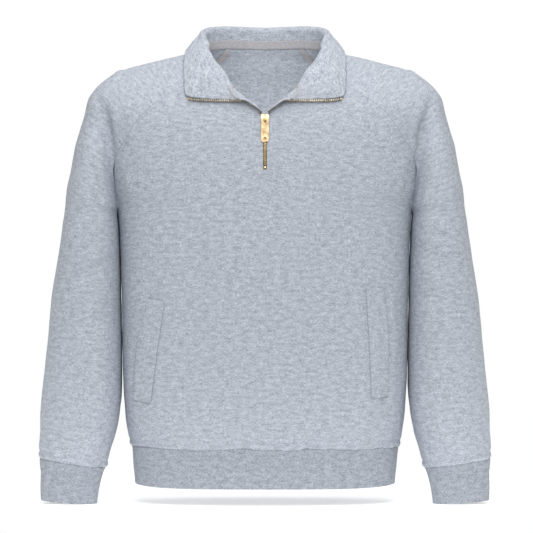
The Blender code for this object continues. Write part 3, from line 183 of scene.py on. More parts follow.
# top outline of the shoulder: x, height
SHOULDER = np.array([(101.0, 12.0), (140.0, 1.5), (180.0, -8.0), (222.0, -20.0), (252.0, -36.0),
                     (270.0, -58.0), (283.0, -86.0), (300.0, -145.0), (308.0, -185.0), (313.0, -225.0)])
# a place inside the cloth that sees each sleeve row: x, height
SLEEVE_HEART = np.array([(62.0, -30.0), (100.0, -52.0), (142.0, -72.0), (180.0, -90.0), (210.0, -112.0),
                         (238.0, -150.0), (262.0, -195.0), (273.0, -225.0)])
# heights of the body's rows from below the armpit to the hem
BODY_LEVELS = np.array([-262.0, -290.0, -325.0, -362.0, -400.0, -440.0, -480.0, -515.0, -545.0, -572.0,
                        -592.0, -604.0, HEM_SEAM])
ARM_TOP_LEVEL = -258.0
YOKE_ROWS = 11
PIT_SPREAD = 0.5
PIT_SPREAD_FIRST = 6

# the large soft folds: x0, z0, x1, z1, side (-1 in front, 1 behind), width, depth
FOLDS = np.array([
    (236.0, -300.0, 322.0, -352.0, -1.0, 15.0, -3.2),
    (240.0, -372.0, 326.0, -398.0, -1.0, 14.0, -2.6),
    (250.0, -452.0, 340.0, -478.0, -1.0, 16.0, -3.0),
    (262.0, -560.0, 345.0, -585.0, -1.0, 13.0, -3.2),
    (255.0, -330.0, 330.0, -300.0, 1.0, 15.0, -3.4),
    (250.0, -420.0, 335.0, -386.0, 1.0, 16.0, -3.6),
    (260.0, -505.0, 345.0, -530.0, 1.0, 15.0, -2.8),
    (262.0, -600.0, 346.0, -575.0, 1.0, 12.0, -3.0),
    (-236.0, -322.0, -324.0, -362.0, -1.0, 14.0, -2.8),
    (-240.0, -410.0, -330.0, -440.0, -1.0, 17.0, -3.2),
    (-255.0, -505.0, -342.0, -520.0, -1.0, 14.0, -2.4),
    (-262.0, -590.0, -345.0, -572.0, -1.0, 12.0, -3.0),
    (-250.0, -318.0, -328.0, -340.0, 1.0, 15.0, -3.2),
    (-250.0, -430.0, -336.0, -400.0, 1.0, 16.0, -3.4),
    (-258.0, -528.0, -345.0, -500.0, 1.0, 15.0, -2.8),
    (120.0, -606.0, 150.0, -510.0, -1.0, 14.0, -2.6),
    (62.0, -608.0, 70.0, -540.0, -1.0, 12.0, -2.0),
    (-20.0, -608.0, -34.0, -556.0, -1.0, 13.0, -1.8),
    (-98.0, -607.0, -120.0, -520.0, -1.0, 14.0, -2.4),
    (-178.0, -600.0, -196.0, -470.0, -1.0, 16.0, -2.6),
    (180.0, -600.0, 198.0, -480.0, -1.0, 15.0, -2.4),
    (150.0, -604.0, 120.0, -470.0, 1.0, 18.0, -3.2),
    (40.0, -606.0, 22.0, -520.0, 1.0, 15.0, -2.6),
    (-70.0, -606.0, -60.0, -500.0, 1.0, 16.0, -3.0),
    (-165.0, -602.0, -190.0, -450.0, 1.0, 17.0, -3.2),
    (262.0, -66.0, 246.0, -128.0, -1.0, 10.0, -4.5),
    (252.0, -112.0, 243.0, -196.0, -1.0, 11.0, -2.6),
    (-262.0, -66.0, -246.0, -128.0, -1.0, 10.0, -4.5),
    (-252.0, -112.0, -243.0, -196.0, -1.0, 11.0, -2.6),
    (262.0, -70.0, 248.0, -134.0, 1.0, 12.0, -3.0),
    (-262.0, -70.0, -248.0, -134.0, 1.0, 12.0, -2.8),
    (60.0, -60.0, 190.0, -210.0, 1.0, 22.0, -3.0),
    (-75.0, -66.0, -186.0, -196.0, 1.0, 20.0, -2.6),
])
# finer creases laid over them, in the same columns, with how far each one bows sideways
CREASES = np.array([
    (150.0, -40.0, 205.0, -66.0, -1.0, 7.0, -0.9, 5.0),
    (190.0, -40.0, 236.0, -84.0, -1.0, 8.0, -1.1, -6.0),
    (-138.0, -34.0, -196.0, -58.0, -1.0, 8.0, -0.9, -5.0),
    (-186.0, -44.0, -240.0, -92.0, -1.0, 7.0, -1.2, 7.0),
    (222.0, -110.0, 196.0, -178.0, -1.0, 9.0, -1.3, 6.0),
    (-224.0, -116.0, -190.0, -190.0, -1.0, 9.0, -1.4, -7.0),
    (228.0, -168.0, 206.0, -236.0, -1.0, 8.0, -1.2, 4.0),
    (-230.0, -176.0, -204.0, -250.0, -1.0, 8.0, -1.1, -5.0),
    (262.0, -96.0, 282.0, -170.0, -1.0, 8.0, -1.4, -5.0),
    (-262.0, -104.0, -284.0, -184.0, -1.0, 8.0, -1.5, 5.0),
    (246.0, -236.0, 300.0, -268.0, -1.0, 9.0, -1.5, 6.0),
    (242.0, -268.0, 312.0, -286.0, -1.0, 7.0, -1.0, -6.0),
    (-246.0, -240.0, -304.0, -262.0, -1.0, 9.0, -1.4, -6.0),
    (-244.0, -282.0, -300.0, -314.0, -1.0, 8.0, -1.1, 5.0),
    (300.0, -420.0, 340.0, -436.0, -1.0, 8.0, -1.3, 4.0),
    (246.0, -520.0, 300.0, -540.0, -1.0, 9.0, -1.5, 6.0),
    (290.0, -598.0, 348.0, -612.0, -1.0, 7.0, -1.5, -4.0),
    (254.0, -606.0, 300.0, -624.0, -1.0, 6.0, -1.2, 4.0),
    (-300.0, -398.0, -338.0, -380.0, -1.0, 8.0, -1.2, 4.0),
    (-248.0, -548.0, -308.0, -562.0, -1.0, 9.0, -1.5, -5.0),
    (-292.0, -610.0, -348.0, -600.0, -1.0, 7.0, -1.4, 4.0),
    (-252.0, -600.0, -296.0, -622.0, -1.0, 6.0, -1.2, -4.0),
    (96.0, -606.0, 104.0, -580.0, -1.0, 6.0, -1.1, 2.0),
    (34.0, -607.0, 30.0, -586.0, -1.0, 5.0, -0.9, 2.0),
    (-52.0, -607.0, -60.0, -578.0, -1.0, 6.0, -1.1, -2.0),
    (-142.0, -605.0, -150.0, -572.0, -1.0, 6.0, -1.2, -3.0),
    (160.0, -604.0, 172.0, -566.0, -1.0, 7.0, -1.2, 3.0),
    (130.0, -300.0, 60.0, -348.0, -1.0, 24.0, -1.1, 10.0),
    (-120.0, -330.0, -40.0, -372.0, -1.0, 24.0, -1.0, -10.0),
    (10.0, -190.0, 26.0, -300.0, -1.0, 26.0, -0.9, 8.0),
    (-60.0, -140.0, -100.0, -240.0, -1.0, 26.0, -0.8, -9.0),
    (30.0, -40.0, 44.0, -140.0, 1.0, 16.0, -1.2, 6.0),
    (-26.0, -50.0, -48.0, -160.0, 1.0, 16.0, -1.1, -6.0),
    (222.0, -150.0, 150.0, -262.0, 1.0, 12.0, -2.0, 12.0),
    (-224.0, -156.0, -160.0, -280.0, 1.0, 12.0, -2.0, -12.0),
    (228.0, -210.0, 176.0, -330.0, 1.0, 12.0, -1.6, 10.0),
    (-228.0, -220.0, -186.0, -350.0, 1.0, 12.0, -1.6, -10.0),
    (110.0, -380.0, -20.0, -420.0, 1.0, 22.0, -1.5, 14.0),
    (60.0, -470.0, -90.0, -456.0, 1.0, 20.0, -1.4, -12.0),
    (250.0, -244.0, 316.0, -262.0, 1.0, 9.0, -1.6, 6.0),
    (-250.0, -250.0, -318.0, -278.0, 1.0, 9.0, -1.6, -6.0),
    (252.0, -366.0, 330.0, -348.0, 1.0, 9.0, -1.5, 5.0),
    (-252.0, -366.0, -330.0, -380.0, 1.0, 9.0, -1.5, 5.0),
    (258.0, -462.0, 340.0, -450.0, 1.0, 9.0, -1.4, -5.0),
    (-258.0, -470.0, -340.0, -458.0, 1.0, 9.0, -1.4, 5.0),
    (262.0, -556.0, 344.0, -548.0, 1.0, 8.0, -1.4, 4.0),
    (-262.0, -572.0, -344.0, -584.0, 1.0, 8.0, -1.6, 4.0),
    (90.0, -605.0, 84.0, -560.0, 1.0, 8.0, -1.4, 3.0),
    (-10.0, -606.0, -16.0, -566.0, 1.0, 7.0, -1.2, 3.0),
    (-120.0, -604.0, -124.0, -560.0, 1.0, 8.0, -1.4, 3.0),
    (240.0, -122.0, 262.0, -68.0, -1.0, 6.0, -3.0, -3.0),
    (243.0, -150.0, 249.0, -104.0, -1.0, 6.0, -2.6, -2.0),
    (-262.0, -66.0, -241.0, -124.0, -1.0, 6.0, -3.2, 3.0),
    (-249.0, -106.0, -243.0, -154.0, -1.0, 6.0, -2.7, 2.0),
    (188.0, -362.0, 194.0, -480.0, -1.0, 4.5, -1.7, 2.0),
    (195.0, -440.0, 194.0, -540.0, -1.0, 4.5, -1.5, 0.0),
    (-206.0, -470.0, -184.0, -378.0, -1.0, 4.5, -1.7, -2.0),
    (-208.0, -546.0, -202.0, -440.0, -1.0, 4.5, -1.5, 0.0),
])

# the pockets' welts, each edge in the front view from the top: inner x, inner z, outer x, outer z
WELT_LEFT = np.array([
    (157.5, -366.0, 181.5, -365.0), (159.0, -392.0, 185.5, -392.0), (161.0, -423.0, 188.5, -423.0),
    (164.0, -480.0, 190.5, -480.0), (166.0, -534.0, 190.5, -533.0),
])
WELT_RIGHT = np.array([
    (-157.0, -387.0, -180.0, -382.0), (-161.0, -415.0, -187.0, -409.0), (-165.5, -447.0, -196.0, -445.0),
    (-172.5, -495.0, -202.0, -495.0), (-179.0, -542.0, -204.0, -538.0),
])
WELT_THICK = 2.6
BAG_THICK = 3.2
POCKET_GAP = 0.9


# ------------------------------------------------------------------ numbers and curves

def smooth_rows(table: Array, at: Array) -> Array:
    """Reads every column of a table at values of its first column, by monotone cubics through the rows.

    Args:
        table: rows whose first column rises or falls all the way.
        at: the values to read at.

    Returns:
        The other columns there, one row a value.
    """
    table = table[np.argsort(table[:, 0])]
    knots = table[:, 0]
    values = table[:, 1:]
    gap = np.diff(knots)[:, None]
    slope = np.diff(values, axis=0) / gap
    bend = np.zeros_like(values)
    before, after = slope[:-1], slope[1:]
    same_way = before * after > 0
    total = np.where(same_way, before + after, 1.0)
    bend[1:-1] = np.where(same_way, 2.0 * before * after / total, 0.0)
    bend[0] = slope[0]
    bend[-1] = slope[-1]
    at = np.clip(at, knots[0], knots[-1])
    piece = np.clip(np.searchsorted(knots, at, side="right") - 1, 0, len(knots) - 2)
    long = gap[piece, 0]
    t = ((at - knots[piece]) / long)[..., None]
    long = long[..., None]
    return (
        values[piece] * (1 + 2 * t) * (1 - t) ** 2
        + bend[piece] * long * t * (1 - t) ** 2
        + values[piece + 1] * t * t * (3 - 2 * t)
        + bend[piece + 1] * long * t * t * (t - 1)
    )


def run_lengths(path: Array) -> Array:
    """Distance along a path to each of its points: the running sum of the steps."""
    steps = np.linalg.norm(np.diff(path, axis=0), axis=1)
    return np.concatenate([[0.0], np.cumsum(steps)])


def resample(path: Array, share: Array) -> Array:
    """Points at given shares of a path's length."""
    run = run_lengths(path)
    want = np.asarray(share) * run[-1]
    return np.stack([np.interp(want, run, path[:, axis]) for axis in range(path.shape[1])], axis=1)


def along_table(table: Array, share: Array) -> Array:
    """A table's places at shares of the length of its own smooth line."""
    key = np.linspace(0.0, len(table) - 1.0, 30 * len(table))
    indexed = np.column_stack([np.arange(len(table)), table])
    return resample(smooth_rows(indexed, key), share)


def unit(vectors: Array) -> Array:
    """Vectors made one long."""
    return vectors / np.maximum(np.linalg.norm(vectors, axis=-1, keepdims=True), 1e-9)


def on_side(side: float) -> Array:
    """What a left-hand place is multiplied by to be on a side, 1 left or -1 right."""
    return np.array([side, 1.0, 1.0])


def grid_normals(grid: Array) -> Array:
    """Directions square to a grid: the cross product of its two slopes."""
    return unit(np.cross(np.gradient(grid, axis=0), np.gradient(grid, axis=1)))


def pushed_in(grid: Array, sides: str, amount: float) -> Array:
    """A grid whose named sides are drawn in along its own lines: t top, b bottom, l first column, r last."""
    grid = grid.copy()
    ends = {"t": (0, 1), "b": (-1, -2)}
    for side, (edge, inner) in ends.items():
        if side in sides:
            grid[edge] += amount * unit(grid[inner] - grid[edge])
    ends = {"l": (0, 1), "r": (-1, -2)}
    for side, (edge, inner) in ends.items():
        if side in sides:
            grid[:, edge] += amount * unit(grid[:, inner] - grid[:, edge])
    return grid


# ------------------------------------------------------------------ the form

@dataclass(frozen=True)
class Form:
    """The form that the cloth's middle lies on: superellipse level sections, body and arms joined softly."""

    slope_step: float = 0.4
    far: float = 420.0

    def body(self, points: Array) -> Array:
        """Below zero inside the body: (|x/w|^n + |y/d|^n)^(1/n) - 1, times about the section's half size."""
        wide, front, back, square = np.moveaxis(smooth_rows(BODY, points[..., 2]), -1, 0)
        across = np.abs(points[..., 0]) / wide
        deep = points[..., 1] - SIDE_Y
        deep = np.abs(deep) / np.where(deep < 0, front, back)
        ratio = (across ** square + deep ** square + 1e-12) ** (1.0 / square)
        return (ratio - 1.0) * 0.5 * (wide + 0.5 * (front + back))

    def arm(self, points: Array) -> Array:
        """Below zero inside either arm, by the same rule about the arm's own centre."""
        centre, wide, deep, middle, square = np.moveaxis(smooth_rows(ARM, points[..., 2]), -1, 0)
        across = np.abs(np.abs(points[..., 0]) - centre) / wide
        depth = np.abs(points[..., 1] - middle) / deep
        ratio = (across ** square + depth ** square + 1e-12) ** (1.0 / square)
        above = np.maximum(points[..., 2] - ARM[0, 0], 0.0)
        return (ratio - 1.0) * 0.5 * (wide + deep) + above

    def joined(self, points: Array) -> Array:
        """The lesser of body and arm, less (k - |body - arm|)^2 / 4k where they are nearer than fillet k."""
        body = self.body(points)
        arm = self.arm(points)
        levels, fillets = [-252.0, -240.0, -200.0, -120.0, -70.0], [3.0, 8.0, 7.0, 9.0, 22.0]
        fillet = np.interp(points[..., 2], levels, fillets)
        overlap = np.maximum(fillet - np.abs(body - arm), 0.0)
        return np.minimum(body, arm) - overlap * overlap / (4.0 * fillet)

    def slope(self, points: Array, field_of: Callable[[Array], Array]) -> Array:
        """The field's slope, by differences each way along the three axes."""
        slope = np.empty(points.shape)
        for axis in range(3):
            shift = np.zeros(3)
            shift[axis] = self.slope_step
            slope[..., axis] = (field_of(points + shift) - field_of(points - shift)) / (2.0 * self.slope_step)
        return slope

    def outward(self, points: Array, field_of: Callable[[Array], Array] | None = None) -> Array:
        """The form's outward direction."""
        return unit(self.slope(points, field_of or self.joined))

    def settled(self, points: Array, field_of: Callable[[Array], Array] | None = None) -> Array:
        """Points brought onto the form by two Newton steps along the field's slope."""
        field_of = field_of or self.joined
        for _ in range(2):
            slope = self.slope(points, field_of)
            size = np.maximum(np.sum(slope * slope, axis=-1, keepdims=True), 1e-6)
            points = points - slope * field_of(points)[..., None] / size
        return points

    def reach(self, start: Array, way: Array, field_of: Callable[[Array], Array] | None = None,
              far: float | None = None, sign: float = -1.0) -> Array:
        """Where rays leave the form, or with sign 1 enter it: the first change of sign, then halving."""
        field_of = field_of or self.joined
        way = unit(way)
        steps = np.linspace(0.0, far or self.far, 141)
        level = field_of(start[:, None, :] + way[:, None, :] * steps[None, :, None]) * sign
        found = np.argmax(level < 0, axis=1)
        low = steps[np.maximum(found - 1, 0)]
        high = steps[found]
        for _ in range(20):
            middle = 0.5 * (low + high)
            past = field_of(start + way * middle[:, None]) * sign < 0
            high = np.where(past, middle, high)
            low = np.where(past, low, middle)
        return start + way * (0.5 * (low + high))[:, None]

    def on_neck(self, turn: Array, height: Array | float) -> Array:
        """The body's point at a turn about the middle line, in degrees from the front, and a height."""
        turn = np.radians(np.atleast_1d(np.asarray(turn, float)))
        height = np.broadcast_to(np.asarray(height, float), turn.shape)
        way = np.stack([np.sin(turn), -np.cos(turn), np.zeros_like(turn)], axis=1)
        start = np.stack([np.zeros_like(turn), np.full_like(turn, SIDE_Y), height], axis=1)
        return self.reach(start, way, self.body)

    def seen_from(self, side: float, across: Array, height: Array) -> Array:
        """The form's point met from straight in front (-1) or behind (1) at places in the front view."""
        start = np.stack([across, np.full_like(across, side * 160.0), height], axis=1)
        way = np.tile([0.0, -side, 0.0], (len(across), 1))
        return self.reach(start, way, far=170.0, sign=1.0)


FORM = Form()


@dataclass(frozen=True)
class Drape:
    """Soft folds and finer creases: each pushes the cloth by depth * exp(-(distance / width)^2)."""

    folds: Array = field(default_factory=lambda: FOLDS)
    creases: Array = field(default_factory=lambda: CREASES)
    ridge_share: float = 0.45
    wobble: float = 0.35

    def lines(self) -> Array:
        """Folds and creases as one table, a straight fold having no bow."""
        straight = np.column_stack([self.folds, np.zeros(len(self.folds))])
        return np.vstack([straight, self.creases])

    def depth(self, points: Array, normals: Array) -> Array:
        """How far the folds push each point out.

        A crease's line bows by 4 u (1 - u) of its bow at share u. It fades to both ends as a sine, and a
        softer ridge stands beside the trough, 1.7 widths away.
        """
        depth = np.zeros(points.shape[:-1])
        fold_count = len(self.folds)
        for index, (x0, z0, x1, z1, side, wide, deep, bow) in enumerate(self.lines()):
            run = np.array([x1 - x0, z1 - z0])
            length = np.linalg.norm(run)
            offset = np.stack([points[..., 0] - x0, points[..., 2] - z0], axis=-1)
            share = np.clip(offset @ run / (length * length), 0.0, 1.0)
            square = np.array([-run[1], run[0]]) / length
            bent = offset - share[..., None] * run - (4.0 * bow * share * (1.0 - share))[..., None] * square
            away = np.linalg.norm(bent, axis=-1)
            faces = np.clip(side * normals[..., 1] * 1.6, 0.0, 1.0)
            taper = np.sin(np.pi * np.clip(0.12 + 0.76 * share, 0.0, 1.0))
            shape = np.exp(-(away / wide) ** 2)
            if index >= fold_count:
                sideways = bent @ square
                shape = shape - self.ridge_share * np.exp(-((sideways - 1.7 * wide) / wide) ** 2 - (
                    np.maximum(away - np.abs(sideways), 0.0) / wide) ** 2)
            depth += deep * shape * taper * faces
        return depth

    def soft_wobble(self, points: Array) -> Array:
        """Slow unevenness of hanging cloth: three sines of uneven wavelength along slanted directions."""
        x, y, z = np.moveaxis(points, -1, 0)
        return self.wobble * (
            np.sin(x / 23.0 + z / 61.0 + 1.3) * np.sin(z / 37.0 - y / 29.0)
            + 0.6 * np.sin(x / 11.0 - z / 17.0 + 0.4) * np.sin(z / 13.0 + y / 19.0 + 2.1)
        )

    def laid(self, points: Array, normals: Array, fine: bool = True) -> Array:
        """Points moved along the outward direction by folds, creases and wobble."""
        depth = self.depth(points, normals)
        if fine:
            depth = depth + self.soft_wobble(points)
        return points + normals * depth[..., None]


DRAPE = Drape()


class Neck:
    """The neck's cloth by turn and share: -1..0 up the stand to the fold, 0..1 over it to the leaf's edge."""

    def __init__(self, steps: int = 97, fold_share: float = 0.25) -> None:
        """Works out a stand and a leaf profile at each turn.

        Args:
            steps: points in each profile.
            fold_share: the part of the leaf's points that the round fold takes.
        """
        self.steps = steps
        self.fold_share = fold_share
        self.turns = np.concatenate([np.linspace(2.0, 60.0, 117), np.linspace(61.0, 180.0, 120)])
        turns = self.turns
        rim = smooth_rows(RIM, turns)[:, 0]
        seam = np.where(turns <= SEAM_LEAVES_FOLD, rim, smooth_rows(NECK_SEAM, turns)[:, 0])
        self.foot = FORM.on_neck(turns, rim)
        share = np.linspace(0.0, 1.0, steps)
        heights = seam[:, None] + (rim - seam)[:, None] * share
        flat_turns = np.repeat(turns, steps)
        self.stand = FORM.on_neck(flat_turns, heights.ravel()).reshape(len(turns), steps, 3)
        edge = smooth_rows(LEAF_EDGE, turns)
        radius = smooth_rows(FOLD_RADIUS, turns)
        out = FORM.outward(self.foot, FORM.body)
        away = unit(np.cross(out, unit(np.gradient(self.foot, axis=0))))
        away *= np.where(np.sum(away * (edge - self.foot), axis=1, keepdims=True) < 0, -1.0, 1.0)
        crown = self.foot + 2.0 * radius * out
        spare = np.minimum(0.06 * np.linalg.norm(edge - crown, axis=1), 4.0)[:, None]
        guide = np.stack([
            self.foot,
            self.foot - 0.7 * radius * away + 0.3 * radius * out,
            self.foot - radius * away + radius * out,
            self.foot - 0.7 * radius * away + 1.7 * radius * out,
            crown,
            0.5 * (crown + edge) + out * spare,
            edge,
        ], axis=1)
        self.leaf = np.stack([self.rounded(profile) for profile in guide])

    def rounded(self, guide: Array) -> Array:
        """A smooth line through guide points: the fold takes its share of the steps, the leaf the rest."""
        run = run_lengths(guide)
        crown = run[4]
        fold_steps = int(self.fold_share * (self.steps - 1))
        fold = np.linspace(0.0, crown, fold_steps + 1)
        flat = np.linspace(crown, run[-1], self.steps - fold_steps)[1:]
        return smooth_rows(np.column_stack([run, guide]), np.concatenate([fold, flat]))

    def at(self, turn: Array, share: Array) -> Array:
        """Points at turns and shares, by bilinear reading between the stored profiles."""
        turn, share = np.broadcast_arrays(np.asarray(turn, float), np.asarray(share, float))
        shape = turn.shape
        turn, share = turn.ravel(), share.ravel()
        row = np.interp(turn, self.turns, np.arange(len(self.turns)))
        low = np.clip(np.floor(row).astype(int), 0, len(self.turns) - 2)
        mix = (row - low)[:, None]
        column = np.where(share < 0, 1.0 + share, share) * (self.steps - 1)
        left = np.clip(np.floor(column).astype(int), 0, self.steps - 2)
        part = (column - left)[:, None]
        result = np.zeros((len(turn), 3))
        for step, weight in ((low, 1.0 - mix), (low + 1, mix)):
            stand = self.stand[step, left] * (1 - part) + self.stand[step, left + 1] * part
            leaf = self.leaf[step, left] * (1 - part) + self.leaf[step, left + 1] * part
            result += weight * np.where((share < 0)[:, None], stand, leaf)
        return result.reshape(*shape, 3)


NECK = Neck()


class Seams:
    """The raglan and side seams as rows of points, a row for every step from the neck to the hem."""

    def __init__(self, raglan_steps: int = 6, side_steps: int = 7, pit_rows: int = 8) -> None:
        """Traces the seams.

        Args:
            raglan_steps: rows for each of the yoke's eleven bands.
            side_steps: rows for each band between the body's levels.
            pit_rows: more rows in the last step, where the seams turn in under the arm.
        """
        self.raglan_steps = raglan_steps
        self.pit_rows = pit_rows
        even = np.linspace(0.0, YOKE_ROWS, YOKE_ROWS * raglan_steps + 1)
        self.key = np.concatenate([even[:-1], np.linspace(even[-2], even[-1], pit_rows + 2)[1:]])
        self.count = len(self.key)
        self.pit = self.armpit()
        self.front = self.raglan(FRONT_RAGLAN, -1.0, FRONT_RAGLAN_TURN)
        self.back = self.raglan(BACK_RAGLAN, 1.0, BACK_RAGLAN_TURN)
        stops = np.concatenate([[self.pit[2]], BODY_LEVELS])
        inner = np.linspace(0.0, len(stops) - 1.0, (len(stops) - 1) * side_steps + 1)[1:]
        self.levels = np.interp(inner, np.arange(len(stops)), stops)
        across = smooth_rows(BODY, self.levels)[:, 0]
        self.side = np.stack([across, np.full_like(across, SIDE_Y), self.levels], axis=1)
        self.spread = np.zeros((self.count, 3))
        share = (self.key - PIT_SPREAD_FIRST) / (YOKE_ROWS - PIT_SPREAD_FIRST)
        self.spread[:, 0] = PIT_SPREAD * np.clip(share, 0.0, 1.0)

    @staticmethod
    def armpit() -> Array:
        """The lowest point of the web between body and arm, on the side line."""
        height = np.linspace(-225.0, -262.0, 400)
        body = smooth_rows(BODY, height)[:, 0]
        arm = smooth_rows(ARM, height)
        across = 0.5 * (body + arm[:, 0] - arm[:, 1])
        places = np.stack([across, np.full_like(across, SIDE_Y), height], axis=1)
        return places[np.argmax(FORM.joined(places) > 0)]

    def raglan(self, table: Array, side: float, top_turn: float) -> Array:
        """A raglan seam's points from the neck to the armpit."""
        drawn = along_table(np.vstack([table, [self.pit[0], self.pit[2]]]), self.key / YOKE_ROWS)
        points = FORM.seen_from(side, drawn[:, 0], drawn[:, 1])
        points[0] = FORM.on_neck(top_turn, smooth_rows(NECK_SEAM, np.array([top_turn]))[:, 0])[0]
        start = self.count - self.pit_rows - 2
        mix = np.linspace(0.0, 1.0, self.pit_rows + 2)[:, None]
        points[start:] = FORM.settled(points[start] * (1.0 - mix) + self.pit * mix)
        points[-1] = self.pit
        return points

    def outer(self, raglan: Array) -> Array:
        """A body panel's outer edge: its raglan seam, then the side seam."""
        return np.vstack([raglan - self.spread, self.side])


SEAMS = Seams()


def body_line(start: Array, end: Array, behind: bool = False, count: int = 60) -> Array:
    """Points on the body between two of its points, swept about the middle line.

    The turn and the height change evenly, and each ray leaves the body, or the fillet to the arm where that
    is less than 9 mm further.
    """
    share = np.linspace(0.0, 1.0, count)
    first = math.pi if behind else math.atan2(start[0], -(start[1] - SIDE_Y))
    last = math.atan2(end[0], -(end[1] - SIDE_Y))
    turn = first + (last - first) * share
    height = start[2] + (end[2] - start[2]) * share
    way = np.stack([np.sin(turn), -np.cos(turn), np.zeros_like(turn)], axis=1)
    origin = np.stack([np.zeros_like(turn), np.full_like(turn, SIDE_Y), height], axis=1)
    line = FORM.reach(origin, way, FORM.body)
    if end[2] >= SEAMS.pit[2]:
        joined = FORM.reach(origin, way)
        past = np.linalg.norm(joined - line, axis=1) > 9.0
        line = np.where(past[:, None], line, joined)
    line[0] = start
    line[-1] = end
    return line


# ------------------------------------------------------------------ shells

@dataclass
class Patch:
    """A grid of the cloth's middle surface, with outward directions, outer relief and cloth coordinates."""

    points: Array
    normals: Array
    relief: Array | None = None
    cloth_uv: Array | None = None

    def raised(self) -> Array:
        """The outer relief, nought where none was given."""
        return np.zeros(self.points.shape[:2]) if self.relief is None else self.relief

    def uv(self) -> Array:
        """Cloth coordinates in metres: run along the row, run down the column."""
        if self.cloth_uv is not None:
            return self.cloth_uv
        across = np.linalg.norm(np.diff(self.points, axis=1), axis=2)
        down = np.linalg.norm(np.diff(self.points, axis=0), axis=2)
        u = np.pad(np.cumsum(across, axis=1), ((0, 0), (1, 0)))
        v = np.pad(np.cumsum(down, axis=0), ((1, 0), (0, 0)))
        middle = u.shape[1] // 2
        v = np.broadcast_to(v[:, middle : middle + 1], u.shape)
        hand = 1.0 if self.points[..., 0].mean() > 0 else -1.0
        return np.stack([hand * u, v], axis=-1) * MM

    def mirrored(self) -> "Patch":
        """The same patch on the other side of the garment."""
        uv = self.uv() * MIRROR[:2]
        return Patch(self.points * MIRROR, self.normals * MIRROR, self.relief, uv)


